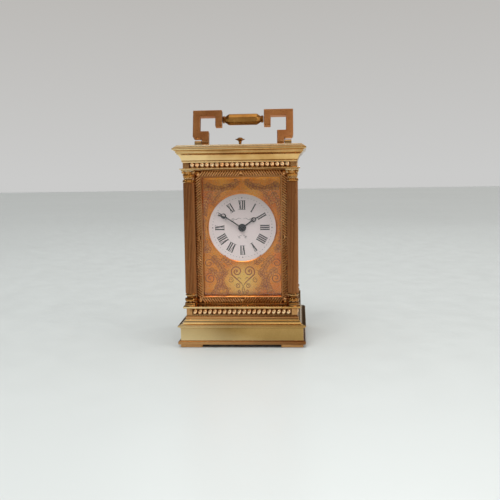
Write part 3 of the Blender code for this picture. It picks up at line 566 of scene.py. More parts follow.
# Painted shade for the hollows between the reeds.
SHAFT_HOLLOW_SHADE = linear(52, 24, 10)
GRIP = shades((150, 102, 50), (192, 140, 72))
FILLET = shades((100, 56, 24), (146, 90, 44))
ROPE = shades((214, 146, 86), (255, 206, 146))
# Painted shade for the gaps between the rope ridges.
ROPE_HOLLOW_SHADE = linear(56, 28, 12)
MASK = shades((226, 112, 20), (250, 174, 62))
MASK_STAIN = linear(204, 92, 18)
# Painted highlight colour for the mask's lower middle.
MASK_PAINTED_HIGHLIGHT = linear(255, 212, 116)
FILL = shades((206, 124, 44), (236, 168, 78))
ETCH = shades((140, 58, 12), (176, 86, 24))
PLATE = shades((206, 160, 82), (242, 206, 128))
STEEL = shades((140, 142, 148), (206, 208, 212))
BLUED = shades((12, 12, 18), (30, 32, 48))
ENAMEL = shades((220, 205, 207), (230, 217, 218))
INK = shades((16, 14, 16), (34, 31, 35))
RUBY = shades((120, 10, 30), (170, 24, 50))
FLOOR = shades((202, 208, 207), (206, 212, 211))
GLASS_TINT = linear(251, 253, 252)
WALL_LOW = linear(203, 203, 202)
WALL_HIGH = linear(176, 172, 167)
SOFT_LIGHT = linear(240, 239, 239)

brass = surface(
    "polished_brass", GOLD, (0.09, 0.17), wear_and_glint=GOLD_WEAR_AND_GLINT, stain_and_reflection=OLIVE_STAIN_AND_REFLECTION, mottle=0.2, wear_and_glint_from=0.56,
)
leaf_brass = surface("leaf_brass", LEAF, (0.1, 0.2), wear_and_glint=GOLD_WEAR_AND_GLINT, painted_hollow_shade=LEAF_HOLLOW_SHADE, mottle=0.2)
plinth_brass = surface(
    "plinth_brass", PLINTH, (0.07, 0.14), patch=22.0, wear_and_glint=GOLD_WEAR_AND_GLINT, mottle=0.2, wear_and_glint_from=0.56,
)
# Painted highlight: the beads' brass is made pale and rough so that it reads as lit.
bead_painted_highlight = surface("bead_painted_highlight", BEAD_PAINTED_LIGHT, (0.2, 0.3), patch=200.0, mottle=0.2, metal=0.75)
# Painted shade for the bed that shows in the gaps between beads and ridges.
channel_shade_brass = surface("painted_channel_shade", CHANNEL_SHADE, (0.3, 0.45), patch=150.0)
copper = surface("satin_brass", COPPER, (0.26, 0.38), grain=1500.0, wear_and_glint=COPPER_WEAR_AND_GLINT, bump=0.3)
# Shaft colour: a coppery tone that is partly painted dark reflection, with painted shade in the reeds.
shaft_tone_and_reflection = surface(
    "shaft_tone_and_reflection", SHAFT_TONE_AND_REFLECTION, (0.26, 0.4), grain=1600.0, stretch=(1, 1, 0.08), bump=0.3, wear_and_glint=COPPER[1],
    painted_hollow_shade=SHAFT_HOLLOW_SHADE,
)
grip_brass = surface("grip_brass", GRIP, (0.26, 0.36), patch=90.0, wear_and_glint=GOLD_WEAR_AND_GLINT, wear_and_glint_from=0.57)
fillet_brass = surface("fillet_brass", FILLET, (0.16, 0.28), patch=80.0, wear_and_glint=COPPER_WEAR_AND_GLINT)
rope_brass = surface("rope_brass", ROPE, (0.22, 0.34), wear_and_glint=COPPER_WEAR_AND_GLINT, mottle=0.25, painted_hollow_shade=ROPE_HOLLOW_SHADE)
# The mask carries a painted highlight on its lower middle.
mask_gold = surface(
    "mask_gold", MASK, (0.24, 0.34), patch=45.0, grain=2400.0, stain_and_reflection=MASK_STAIN, mottle=0.15,
    painted_highlight_spot=((0, -18, 46), 16, MASK_PAINTED_HIGHLIGHT),
)
etched = surface("etched_gold", FILL, (0.4, 0.55), patch=300.0, bump=0.3)
etched_line = surface("etched_line", ETCH, (0.5, 0.65), patch=300.0, bump=0.3, metal=0.25)
plate_brass = surface(
    "movement_brass", PLATE, (0.22, 0.36), grain=1600.0, stretch=(1, 1, 0.15), bump=0.3, wear_and_glint=GOLD_WEAR_AND_GLINT,
)
wheel_brass = surface("wheel_brass", (PLATE[0], GOLD[1]), (0.16, 0.3), grain=2200.0, wear_and_glint=GOLD_WEAR_AND_GLINT)
steel = surface("steel", STEEL, (0.18, 0.32), grain=2200.0, stretch=(1, 1, 0.2))
blued = surface("blued_steel", BLUED, (0.18, 0.3), patch=150.0, metal=0.7, coat=0.4)
enamel = surface("enamel", ENAMEL, (0.12, 0.2), patch=30.0, metal=0.0, bump=0.03, coat=0.3, mottle=0.1)
ink = surface("dial_ink", INK, (0.3, 0.45), patch=400.0, metal=0.0)
ruby = surface("ruby", RUBY, (0.08, 0.16), patch=500.0, metal=0.0, coat=0.6)
glass = clear_glass("clear_glass", GLASS_TINT)


# --- case


def corner_posts(outer, inner, low, high, radius):
    """Blocks at the four corners, between outer and inner (x, y) distances from the middle."""
    blocks = []
    for sx in (-1, 1):
        for sy in (-1, 1):
            xs = sorted((sx * inner[0], sx * outer[0]))
            ys = sorted((sy * inner[1], sy * outer[1]))
            blocks.append(block((xs[0], ys[0], low), (xs[1], ys[1], high), radius))
    return blocks


def make_plinth():
    foot_mould = profile((
        (44.9, 2.3), (45.7, 2.4, -0.1), (46.0, 2.9, -0.1), (46.0, 4.2), (45.4, 4.75, -0.12), (44.9, 4.95),
        (44.6, 5.2, 0.06),
    ))
    body = profile((
        (44.3, 5.1), (44.25, 5.6), (44.25, 13.9), (44.6, 14.15, 0.05), (45.0, 14.35), (45.0, 14.75),
        (46.0, 15.0, -0.05), (46.2, 15.5, -0.12), (46.0, 16.0, -0.12), (45.2, 16.25), (45.2, 16.6),
        (42.3, 18.2, 0.5), (42.3, 18.55), (41.5, 19.3, -0.22), (41.2, 19.5), (41.2, 19.9),
    ))
    shapes = [moulding(body, ((INSIDE_X, 19.9), (INSIDE_X, 5.1)))]
    foot_shapes = [moulding(foot_mould, ((INSIDE_X + 0.1, 5.2), (INSIDE_X + 0.1, 2.3)))]
    outer = 44.3, 44.3 - DEPTH_INSET
    inner = outer[0] - FOOT_SIZE, outer[1] - FOOT_SIZE
    foot_shapes += corner_posts(outer, inner, box_mm("plinth")[0].z, 2.7, 0.45)
    groups = [(plinth_brass, shapes), (fillet_brass, foot_shapes)]
    piece("base_moulding", groups, replaces=("plinth",))


def bead_rows(face, z, radii, tilt, egg):
    """Beads along all four sides of a frieze whose front stands face wide to each side."""
    beads = []
    for facing, count, out in (
        ("front", BEADS_FRONT, face - DEPTH_INSET), ("back", BEADS_FRONT, face - DEPTH_INSET),
        ("left", BEADS_SIDE, face), ("right", BEADS_SIDE, face),
    ):
        for i in range(count):
            along = BEAD_PITCH * (i - (count - 1) / 2)
            beads.append(upright(ball(radii, (along, -out, z), tilt, egg=egg), facing))
    return beads


def plain_corners(face, low, high):
    """Plain blocks at the four corners, where the rows of beads end."""
    inner = BEAD_PITCH * BEADS_FRONT / 2 + 0.3, BEAD_PITCH * BEADS_SIDE / 2 + 0.3
    return corner_posts((face, face - DEPTH_INSET), inner, low, high, 0.15)


def frieze(name, node_name, ring, fillets, channel, beads):
    """One frieze: its moulding, fillets and corners, (face, low, high) of its channel, and its beads."""
    face, low, high = channel
    outer = (face, low), (face + 0.46, low + 0.05), (face + 0.46, high - 0.05), (face, high)
    # Painted shade: a dark bed behind the beads, seen in the gaps between them.
    dark = moulding(outer, ((face - 0.4, high), (face - 0.4, low)), 0.2)
    groups = [(brass, [ring]), (fillet_brass, fillets), (channel_shade_brass, [dark]), (bead_painted_highlight, beads)]
    piece(name, groups, replaces=(node_name,))


def make_friezes():
    fillet = profile((
        (40.6, 19.85), (40.8, 20.2), (40.95, 20.5, -0.05), (40.95, 21.7), (40.5, 22.0, 0.05), (40.3, 22.3),
        (40.3, 22.9),
    ))
    fillets = [moulding(fillet, ((39.0, 22.95), (31.2, 22.95), (31.2, 19.85)))]
    lower = profile((
        (39.2, 20.4), (39.2, 22.8), (39.4, 23.15), (39.4, 27.5), (40.4, 27.7), (40.7, 27.9, 0.04),
        (42.1, 28.1), (42.5, 28.5, -0.1), (42.5, 29.2), (42.2, 29.4, -0.06),
    ))
    ring = moulding(lower, ((33.8, 29.4), (33.8, 26.9), (31.0, 26.9), (31.0, 20.4)))
    beads = bead_rows(39.8, 25.3, (1.4, 1.2, 2.05), 22, 0.1)
    fillets += plain_corners(40.2, 23.0, 27.7)
    frieze("lower_bead_frieze", "lower_frieze", ring, fillets, (39.0, 23.2, 27.45), beads)
    upper = profile((
        (42.2, 127.9), (42.55, 128.0), (42.9, 128.3, -0.1), (42.9, 128.5), (42.6, 128.7, -0.06),
        (41.0, 128.8), (40.7, 129.05, 0.05), (39.7, 129.3), (39.7, 132.75), (40.6, 132.9), (40.7, 133.1),
    ))
    ring = moulding(upper, ((INSIDE_X, 133.1), (INSIDE_X, 127.9)))
    beads = bead_rows(40.0, 131.0, (1.55, 1.2, 1.75), -14, -0.2)
    corners = plain_corners(40.5, 129.2, 132.9)
    frieze("upper_bead_frieze", "upper_frieze", ring, corners, (39.3, 129.3, 132.75), beads)


def make_cornice():
    outer = profile((
        (40.9, 133.05), (41.1, 133.4), (41.35, 133.75, -0.08), (41.1, 134.1, -0.08), (41.5, 134.35),
        (44.3, 138.9, 0.62), (44.3, 139.3), (44.7, 139.45), (45.05, 139.85, -0.1), (44.9, 140.25, -0.1),
        (44.9, 140.5), (45.9, 141.1, 0.16), (45.9, 141.4), (46.6, 141.6), (47.2, 142.05, -0.12),
        (47.2, 142.75), (46.8, 143.1, -0.05), (44.0, 145.2),
    ))
    opening_x, opening_y = TOP_OPENING
    inner = ((opening_x, 145.2), (opening_x, 143.2), (INSIDE_X, 143.2), (INSIDE_X, 133.05))
    loops = []
    for w, z in (*outer, *inner):
        loops.append(rectangle(w, opening_y if w == opening_x else w - DEPTH_INSET, z))
    piece("top_moulding", [(brass, [loft(loops, cyclic=True)])], replaces=("cornice",))


def column_base():
    def swelling(angle, up):
        return 0.2 * abs(math.cos(6 * angle)) if 32.9 < up < 35.4 else 0.0

    outline = profile((
        (4.4, 29.35), (4.5, 29.7), (4.75, 30.2, -0.1), (4.75, 30.7), (4.3, 31.0, 0.05), (4.5, 31.5, -0.1),
        (4.2, 32.0, -0.15), (3.5, 32.4, 0.1), (3.6, 32.9), (4.35, 34.0, -0.25), (4.1, 35.1, -0.1),
        (3.0, 35.9, 0.2), (3.0, 36.3), (3.5, 36.7, -0.05), (3.6, 37.0), (3.6, 37.9), (3.4, 38.3),
        (3.3, 38.65),
    ), 4)
    shapes = [lathe(outline, 48, swelling)]
    shapes += around(ball((0.36, 0.42, 0.5), (0, 0, 0), rows=6, sides=8), 18, 3.65, 37.5)
    shapes += around(leaf(2.0, 2.6, 0.5, 0.3), 8, 3.75, 32.6)
    return shapes


def column_capital():
    def cup_ribs(angle, up):
        return 0.24 * abs(math.cos(6 * angle)) if up < 121.0 else 0.0

    outline = profile((
        (3.3, 118.45), (3.6, 118.8), (4.05, 119.0, -0.05), (4.15, 119.6, -0.1), (3.6, 120.5, 0.1),
        (3.1, 121.2, 0.05), (3.35, 121.6, -0.1), (3.1, 122.0, -0.1), (3.5, 122.8, -0.1), (3.9, 124.0, -0.1),
        (3.5, 124.9, -0.1), (3.8, 126.0), (3.9, 126.7),
    ), 4)
    shapes = [lathe(outline, 72, cup_ribs)]
    shapes += around(leaf(1.9, 2.4, 0.75, 0.4), 10, 3.3, 122.0)
    shapes += around(leaf(2.1, 2.7, 1.05, 0.4), 8, 3.4, 124.1, math.pi / 8)
    shapes += around(leaf(1.5, 2.3, 0.3, 0.3), 12, 3.66, 118.95)
    shapes += around(ball((0.42, 0.3, 0.42), (0, 0, 0), rows=6, sides=8), 20, 3.22, 121.6)
    edge = profile((
        (0.2, 0.0), (0.45, 0.18), (0.85, 0.3, -0.04), (1.1, 0.12, -0.05), (1.1, -0.12), (0.85, -0.3, -0.05),
    ), 3)
    coil = outwards(lathe([(0.02, 0.42), (0.32, 0.42), *edge[1:], (0.02, -0.42)], 16), "right")
    scroll = [shifted(coil, x=x) for x in (-0.5, 0.5)]
    shapes += around(joined(scroll), 4, 4.5, 125.9, math.pi / 4)
    shapes += around(ball((0.75, 0.5, 0.6), (0, 0, 0), rows=6, sides=10), 4, 4.3, 126.6)
    shapes.append(block((-4.6, -4.6, 126.95), (4.6, 4.6, 127.95), 0.2))
    return shapes


def make_columns():
    def reeding(angle, up):
        return -0.4 * (1 - abs(math.sin(REEDS * angle / 2)))

    shaft = lathe(((3.6, 38.6), (3.95, 38.75), (3.95, 118.35), (3.6, 118.5)), REEDS * 8, reeding)
    base_shapes, capital_shapes = column_base(), column_capital()
    for depth, sy in (("front", -1), ("back", 1)):
        for side, sx in (("left", -1), ("right", 1)):
            corner = "_%s_%s" % (depth, side)
            at = {"x": sx * COLUMN_X, "y": sy * COLUMN_Y}
            for name, node_name, look, shapes, slot, sharp in (
                ("reeded_shaft", "column_shaft", shaft_tone_and_reflection, [shaft], "satin_brass", 50),
                ("leafed_base", "column_base", leaf_brass, base_shapes, "polished_brass", 38),
                ("leafed_capital", "capital", leaf_brass, capital_shapes, "polished_brass", 38),
            ):
                groups = [(look, [shifted(shape, **at) for shape in shapes])]
                piece(name + corner, groups, replaces=(node_name + corner,), sharp=sharp)


def rope_border(half_x, half_z):
    """Rope ridges round a frame about the origin; the slant changes hand at the middle of each side."""
    x, z = half_x - BAND_INSET, half_z - BAND_INSET
    reach_x, reach_z = x - 1.6, z - 1.6
    shapes = []
    for sx in (-1, 1):
        shapes.append(rope((sx * x, 0), (sx * x, reach_z), sx))
        shapes.append(rope((sx * x, 0), (sx * x, -reach_z), -sx))
    for sz in (-1, 1):
        shapes.append(rope((0, sz * z), (reach_x, sz * z), -sz))
        shapes.append(rope((0, sz * z), (-reach_x, sz * z), sz))
        for sx in (-1, 1):
            shapes.append(ball((1.7, 0.8, 1.7), (sx * x, 0, sz * z), sides=16))
    for at_x, at_z in ((x, 0), (-x, 0), (0, z), (0, -z)):
        shapes.append(ball((1.05, 0.8, 1.05), (at_x, 0, at_z)))
    return shapes


def roped_frame(name, node_name, facing, lip):
    """A frame's bar from its lips, the bed painted dark as shade under the ridges, and the ridges."""
    low, high, size, centre = box_mm(node_name)
    half_x, half_z = (size.x if facing == "front" else size.y) / 2, size.z / 2
    # Painted shade: a dark bed under the ridges, seen between them.
    bed = ((0.45, 0.7), (0.45, 0.95), (4.05, 0.95), (4.05, 0.7))
    layers = (
        (copper, [surround(OUTER_LIP + lip, half_x, half_z)]),
        (channel_shade_brass, [surround(bed, half_x, half_z)]),
        (rope_brass, [shifted(shape, y=-1.05) for shape in rope_border(half_x, half_z)]),
    )
    rear = {"front": (0, high.y), "left": (high.x, centre.y), "right": (low.x, centre.y)}[facing]
    groups = []
    for look, shapes in layers:
        groups.append((look, [shifted(upright(shape, facing), *rear, centre.z) for shape in shapes]))
    piece(name, groups, replaces=(node_name,), sharp=50)


def make_frames():
    roped_frame("rope_border_front", "rope_frame", "front", FRONT_LIP)
    roped_frame("rope_border_left", "side_frame_left", "left", SIDE_LIP)
    roped_frame("rope_border_right", "side_frame_right", "right", SIDE_LIP)


def make_glass():
    for name, facing, bevel, bevel_depth, body in (
        ("front_glass", "front", 7.0, 0.9, "case"), ("left_glass", "left", 6.0, 0.9, "case"),
        ("right_glass", "right", 6.0, 0.9, "case"), ("top_glass", "up", 3.2, 0.9, "case"),
        ("door_glass", "back", 3.4, 0.8, "door"),
    ):
        size, centre = box_mm(name)[2:]
        across, tall, thick = {
            "front": (size.x, size.z, size.y), "back": (size.x, size.z, size.y), "up": tuple(size),
            "left": (size.y, size.z, size.x), "right": (size.y, size.z, size.x),
        }[facing]
        shape = shifted(pane(across / 2, tall / 2, thick, bevel, bevel_depth), y=thick / 2)
        groups = [(glass, [shifted(upright(shape, facing), *centre)])]
        piece("bevelled_" + name, groups, body, (name,), sharp=5)


def make_door_frame():
    size, centre = box_mm("door_frame")[2:]
    section = (
        (0.1, 0), (0, 0.15), (0, size.y - 0.5), (0.5, size.y), (1.2, size.y), (1.5, size.y - 0.35),
        (3.4, size.y - 0.35), (3.8, size.y), (4.5, size.y), (5.2, size.y - 0.9), (5.2, 1.9), (4.0, 1.9),
        (4.0, 0),
    )
    shape = shifted(surround(section, size.x / 2, size.z / 2), y=size.y / 2)
    groups = [(brass, [shifted(upright(shape, "back"), *centre)])]
    piece("moulded_door_frame", groups, "door", ("door_frame",))


# --- mask and dial


def spiral(centre, radius, turns, start, hand, end=0.35):
    """A scroll that winds in from its outer radius; start is in degrees."""
    count = max(8, round(turns * 22))
    line = []
    for i in range(count + 1):
        t = i / count
        r = radius * (1 - t) ** 0.85 + end * t
        angle = math.radians(start) + hand * TURN * turns * t
        line.append((centre[0] + r * math.cos(angle), centre[1] + r * math.sin(angle)))
    return line


def small_leaf(at, angle, length, width):
    """Outline of a pointed leaf that grows from a point at an angle in degrees."""
    a = math.radians(angle)
    along, across = (math.cos(a), math.sin(a)), (-math.sin(a), math.cos(a))

    def put(u, v):
        return at[0] + along[0] * u + across[0] * v, at[1] + along[1] * u + across[1] * v

    sides = ((0.0, 0.05), (0.25, 0.42), (0.5, 0.5), (0.78, 0.3), (1.0, 0.0))
    top = [put(length * u, width * v) for u, v in sides]
    bottom = [put(length * u, -width * v) for u, v in reversed(sides[:-1])]
    return top + bottom


def flower(centre, radius, petals=5, start=90.0):
    """Petal outlines round a centre."""
    outlines = []
    for i in range(petals):
        a = math.radians(start + 360 / petals * i)
        middle = centre[0] + radius * 0.56 * math.cos(a), centre[1] + radius * 0.56 * math.sin(a)
        outlines.append(circle(radius * 0.44, 14, middle, a))
    return outlines


def foliage(line, length, width, step, lean=42):
    """A stem and the outlines of the leaves on both its sides."""
    stem = smooth_line(line, 8)
    leaves = []
    travelled = 0.0
    for before, after in zip(stem, stem[1:]):
        travelled += math.dist(before, after)
        if travelled < step * 1.1:
            continue
        travelled = 0.0
        heading = math.degrees(math.atan2(after[1] - before[1], after[0] - before[0]))
        for side in (1, -1):
            leaves.append(small_leaf(after, heading + side * lean, length * 1.15, width * 1.25))
    return stem, leaves


def engraving():
    """The right half of the mask's ornament: (line, width) pairs, and outlines that are filled."""
    lines = []
    fills = []

    def draw(line, width):
        lines.append((line, width * LINE_SCALE))

    def closed(outline, width):
        draw(outline + outline[:1], width)

    stems = (
        (((0.2, 119.3), (3.4, 118.4), (7.0, 115.9), (11.5, 115.0), (16.0, 113.6), (20.6, 114.4)),
         2.9, 1.5, 1.9),
        (((21.5, 112.6), (24.0, 108.5), (26.6, 103.0), (27.6, 96.5)), 2.5, 1.3, 2.0),
        (((27.8, 94.5), (28.3, 86.0), (27.7, 78.0), (26.6, 73.0)), 2.1, 1.1, 2.3, 30),
        (((14.5, 111.6), (18.8, 108.0), (22.3, 102.5)), 2.4, 1.3, 2.0),
        (((24.8, 65.2), (20.5, 61.6), (16.8, 57.2), (14.6, 52.0)), 3.1, 1.7, 2.1),
        (((26.8, 55.6), (23.6, 53.4), (19.4, 50.2), (17.6, 45.6), (19.4, 39.6)), 2.9, 1.6, 2.1),
        (((7.6, 57.2), (10.2, 59.4), (13.6, 62.2)), 3.0, 1.5, 1.8),
        (((9.4, 54.0), (12.5, 52.2), (15.6, 47.4), (14.6, 41.6), (11.2, 38.6)), 2.6, 1.4, 2.1),
    )
    for stem, *leaf_sizes in stems:
        stem_line, leaves = foliage(stem, *leaf_sizes)
        draw(stem_line, 0.3)
        for outline in leaves:
            fills.append(outline)
            closed(outline, 0.23)
    flowers = ((24.6, 115.3), 3.3), ((26.0, 69.1), 2.9), ((17.2, 41.2), 2.6), ((8.4, 115.9), 1.8)
    for centre, radius in flowers:
        for petal in flower(centre, radius):
            fills.append(petal)
            closed(petal, 0.24)
        closed(circle(radius * 0.2, 10, centre), 0.3)
    for centre, radius, turns, start, way, width in (
        ((24.2, 47.6), 4.1, 1.7, 120, -1, 0.42), ((25.0, 58.8), 3.4, 1.5, 200, -1, 0.38),
        ((9.2, 46.2), 2.2, 1.4, 60, 1, 0.3), ((3.6, 41.9), 2.0, 1.6, 150, -1, 0.34),
        ((2.8, 37.6), 1.3, 1.4, 100, -1, 0.3), ((22.4, 36.6), 2.2, 1.4, 40, 1, 0.3),
    ):
        draw(spiral(centre, radius, turns, start, way), width)
    heart_middle = 4.7, 52.6
    heart = spiral(heart_middle, 4.0, 1.55, -12, 1)
    sweep = smooth_line(((0.15, 41.4), (1.4, 43.8), (5.2, 47.4), (8.2, 50.2), heart[0]), 7)
    draw(sweep[:-1] + heart, 0.55)
    closed(circle(0.45, 10, heart_middle), 0.5)
    draw(smooth_line(((0.15, 41.4), (0.8, 38.8), (0.15, 36.2)), 6), 0.3)
    draw(smooth_line(((1.6, 46.6), (2.8, 48.0), (4.6, 47.2)), 6), 0.26)
    return lines, fills


def make_mask():
    lines, fills = engraving()
    rings, plates = [], []
    for line, width in lines:
        for side in (1, -1):
            rings.append(ribbon([(side * x, z) for x, z in line], width, MASK_FACE_Y))
    for index, outline in enumerate(fills):
        # Leaves that cross lie at slightly different depths, so that no two faces coincide.
        front = MASK_FACE_Y - 0.012 - 0.0002 * (index % 61)
        for side in (1, -1):
            plates.append(prism([(side * x, z) for x, z in outline], front, MASK_FACE_Y + 0.05))
    low, high = box_mm("mask")[:2]
    corners = [(low.x, low.z), (high.x, low.z), (high.x, high.z), (low.x, high.z)]
    plate = sheet([corners, circle(25.4, 96, (0, DIAL_Z))], low.y, high.y, 0.08)
    groups = [(mask_gold, [plate]), (etched, plates), (etched_line, rings)]
    piece("engraved_mask", groups, replaces=("mask",))


def strokes_of(numeral):
    """Strokes of a Roman numeral as (foot across, head across, width), and its half width."""
    thick, thin = 0.9, 0.34
    widths = {"I": 1.42, "V": 2.4, "X": 2.4}
    leans = {
        "I": ((0.5, 0.5, thick),),
        "V": ((0.52, 0.2, thick), (0.52, 0.86, thin)),
        "X": ((0.82, 0.18, thick), (0.16, 0.84, thin)),
    }
    total = sum(widths[letter] for letter in numeral)
    at = -total / 2
    strokes = []
    for letter in numeral:
        for foot, head, width in leans[letter]:
            strokes.append((at + widths[letter] * foot, at + widths[letter] * head, width))
        at += widths[letter]
    return strokes, total / 2


def numeral_marks(hour, numeral, front, back):
    """The strokes and the two serif lines of one hour's numeral."""
    a = TURN * hour / 12
    up, right = (math.sin(a), math.cos(a)), (math.cos(a), -math.sin(a))

    def quad(corners, y):
        points = [(right[0] * u + up[0] * v, DIAL_Z + right[1] * u + up[1] * v) for u, v in corners]
        return prism(points, y, back)

    strokes, half = strokes_of(numeral)
    marks = []
    for foot, head, width in strokes:
        corners = [(foot - width / 2, NUMERAL_IN), (foot + width / 2, NUMERAL_IN)]
        corners += [(head + width / 2, NUMERAL_OUT), (head - width / 2, NUMERAL_OUT)]
        marks.append(quad(corners, front))
    for level in (NUMERAL_IN, NUMERAL_OUT - SERIF):
        corners = [(-half, level), (half, level), (half, level + SERIF), (-half, level + SERIF)]
        marks.append(quad(corners, front + 0.005))
    return marks


def dial_rings(section):
    """A ring round the dial's axis from (radius, y) points."""
    rings = []
    for r, y in section:
        rings.append([(x, y, DIAL_Z + z) for x, z in circle(r, 96)])
    return loft(rings, cyclic=True)


def make_dial():
    low, high, size = box_mm("dial")[:3]
    front, back, radius = low.y, high.y, size.x / 2
    face = dial_rings((
        (2.5, back), (radius, back), (radius, front + 0.25), (radius - 0.25, front + 0.03),
        (radius - 0.6, front), (2.5, front),
    ))
    top, hidden = front - 0.035, front + 0.04
    marks = []
    numerals = ("XII", "I", "II", "III", "IIII", "V", "VI", "VII", "VIII", "IX", "X", "XI")
    for hour, numeral in enumerate(numerals):
        marks += numeral_marks(hour, numeral, top, hidden)
    for minute in range(60):
        a = TURN * minute / 60
        centre = MINUTE_RADIUS * math.sin(a), DIAL_Z + MINUTE_RADIUS * math.cos(a)
        marks.append(prism(circle(0.24 if minute % 15 else 0.44, 10, centre), top, hidden))
    ornament = (
        smooth_line(((0.6, 6.3), (2.6, 7.0), (4.6, 5.9), (6.6, 6.6), (8.9, 5.9))),
        spiral((6.6, 5.5), 1.0, 1.2, 90, -1, 0.2),
        smooth_line(((0.4, -6.4), (1.3, -5.8), (2.4, -6.6), (3.6, -6.1))),
        spiral((2.2, -7.2), 0.7, 1.2, 90, -1, 0.2),
    )
    for side in (1, -1):
        for line in ornament:
            marks.append(ribbon([(side * x, DIAL_Z + z) for x, z in line], 0.24, front, 0.03))
    rim = dial_rings((
        (radius - 0.2, front - 0.02), (radius - 0.1, front - 0.32), (radius + 0.2, front - 0.5),
        (radius + 0.5, front - 0.42), (radius + 0.7, front - 0.22), (radius + 0.7, front + 0.1),
        (radius - 0.2, front + 0.1),
    ))
    groups = [(enamel, [face]), (ink, marks), (mask_gold, [rim])]
    piece("numbered_dial", groups, replaces=("dial",))


def hand(boss, width, ring_centre, ring_radius, moon, length, degrees, hole):
    """Outlines of a pierced-moon hand that points to the clockwise angle given in degrees."""
    low = math.asin(width / 2 / boss)
    mid = math.asin(width / 2 / ring_radius)
    middle = 0, ring_centre
    outline = arc(boss, TURN / 4 + low, TURN - 2 * low, 24)
    outline += arc(ring_radius, -TURN / 4 + mid, math.pi - 2 * mid, 16, middle)
    outline += [(0.12, length), (-0.12, length)]
    outline += arc(ring_radius, TURN / 4 + mid, math.pi - 2 * mid, 16, middle)
    loops = [outline, circle(moon, 24, (0, ring_centre + 0.25))]
    if hole:
        loops.append(circle(hole, 24))
    cos, sin = math.cos(math.radians(degrees)), math.sin(math.radians(degrees))
    return [[(x * cos + y * sin, DIAL_Z - x * sin + y * cos) for x, y in loop] for loop in loops]


def make_hands():
    low, high = box_mm("hour_hand")[:2]
    shape = sheet(hand(2.9, 0.9, 10.3, 1.75, 1.0, 13.4, HOUR_DEG, 1.35), low.y, high.y, 0.12)
    piece("moon_hour_hand", [(blued, [shape])], "hour", ("hour_hand",))
    shape = sheet(hand(2.0, 0.8, 16.1, 1.9, 1.15, 21.3, MINUTE_DEG, 0), -20.6, -20.1, 0.12)
    outline = profile((
        (1.9, 0.0), (1.9, 0.35), (1.5, 0.75, -0.08), (0.75, 1.0, -0.1), (0.7, 1.2), (0.3, 1.4, -0.08),
    ))
    dome = shifted(outwards(lathe(outline, 28), "front"), y=-20.2, z=DIAL_Z)
    piece("moon_minute_hand", [(blued, [shape, dome])], "centre", ("minute_hand",))


# --- handle, button, door knob


def rounded_outline(points, radius=0.45, steps=3):
    """A polygon with its corners rounded."""
    made = []
    count = len(points)
    for i, point in enumerate(points):
        here = Vector(point)
        before = Vector(points[i - 1]) - here
        after = Vector(points[(i + 1) % count]) - here
        reach = min(radius, before.length * 0.4, after.length * 0.4)
        a = here + before.normalized() * reach
        b = here + after.normalized() * reach
        for j in range(steps + 1):
            t = j / steps
            made.append(tuple(a * (1 - t) ** 2 + here * 2 * t * (1 - t) + b * t ** 2))
    return made


def leaning(shape):
    """Turns a shape made for the upright handle to the lean it rests at."""
    return turned_about(shape, "X", -LEAN_DEG, (0, 0, PIVOT_Z))


def arm_shapes(sign):
    """A key-pattern arm with its rounded foot and its pin, upright."""
    hook = (
        (15.9, 173.1), (15.9, 160.5), (20.9, 160.5), (20.9, 168.4), (32.5, 168.4), (32.5, 156.7),
        (25.8, 156.7), (25.8, 148.3), (31.0, 148.3), (31.0, 150.2), (31.9, 151.3), (36.8, 151.3),
        (37.9, 152.5), (37.9, 173.1),
    )
    thick = ARM_HALF_THICKNESS
    outline = rounded_outline([(sign * x, z) for x, z in hook])
    tongue = arc(thick, math.pi, math.pi, 16) + [(thick, 0.5), (-thick, 0.5)]
    rings = []
    for x, scale in ((25.8, 0.93), (26.0, 1.0), (30.8, 1.0), (31.0, 0.93)):
        rings.append([(sign * x, y * scale, PIVOT_Z + z * scale) for y, z in tongue])
    pin = lathe(((0.45, 0.0), (0.5, 0.1), (0.5, 4.6), (0.4, 4.8)), 16)
    pin = shifted(outwards(pin, "right" if sign > 0 else "left"), x=sign * 30.5, z=PIVOT_Z)
    return [sheet([outline], -thick, thick, 0.3, 2), loft(rings), pin]


def bracket(node_name):
    """The post with a round top that holds one end of the handle."""
    low, high, size = box_mm(node_name)[:3]
    radius = size.y / 2
    outline = [(radius, low.z), *arc(radius, 0, math.pi, 14, (0, PIVOT_Z)), (-radius, low.z)]
    rings = []
    for x, scale in ((low.x, 0.86), (low.x + 0.25, 1.0), (high.x - 0.25, 1.0), (high.x, 0.86)):
        ring = []
        for y, z in outline:
            ring.append((x, y * scale, PIVOT_Z + (z - PIVOT_Z) * (scale if z > PIVOT_Z else 1.0)))
        rings.append(ring)
    return loft(rings)


def grip():
    """The upright handle's grip: eight flat sides between two turned ends."""
    half_length = (
        (10.4, 4.45), (10.65, 4.38), (13.0, 2.75), (13.25, 2.5), (13.4, 2.3), (13.55, 2.2), (13.75, 2.55),
        (14.05, 2.85), (14.35, 2.6), (14.5, 2.3), (14.65, 2.6), (14.95, 2.9), (15.25, 2.7), (15.45, 2.3),
    )
    side = TURN / 8
    rings = []
    for x, r in [(-a, b) for a, b in reversed(half_length)] + list(half_length):
        ring = []
        for i in range(48):
            a = TURN * (i + 0.5) / 48
            out = r * math.cos(side / 2) / math.cos(a % side - side / 2) if abs(x) < 13.5 else r
            ring.append((x, out * math.cos(a), GRIP_Z + out * math.sin(a)))
        rings.append(ring)
    return loft(rings)


def make_handle():
    for side, sign in (("left", -1), ("right", 1)):
        groups = [(copper, [leaning(shape) for shape in arm_shapes(sign)])]
        piece("key_pattern_arm_" + side, groups, "handle", ("handle_arm_" + side,))
        post = "handle_post_" + side
        piece("handle_bracket_" + side, [(brass, [bracket(post)])], replaces=(post,))
    groups = [(grip_brass, [leaning(grip())])]
    piece("faceted_grip", groups, "handle", ("handle_grip",), sharp=20)


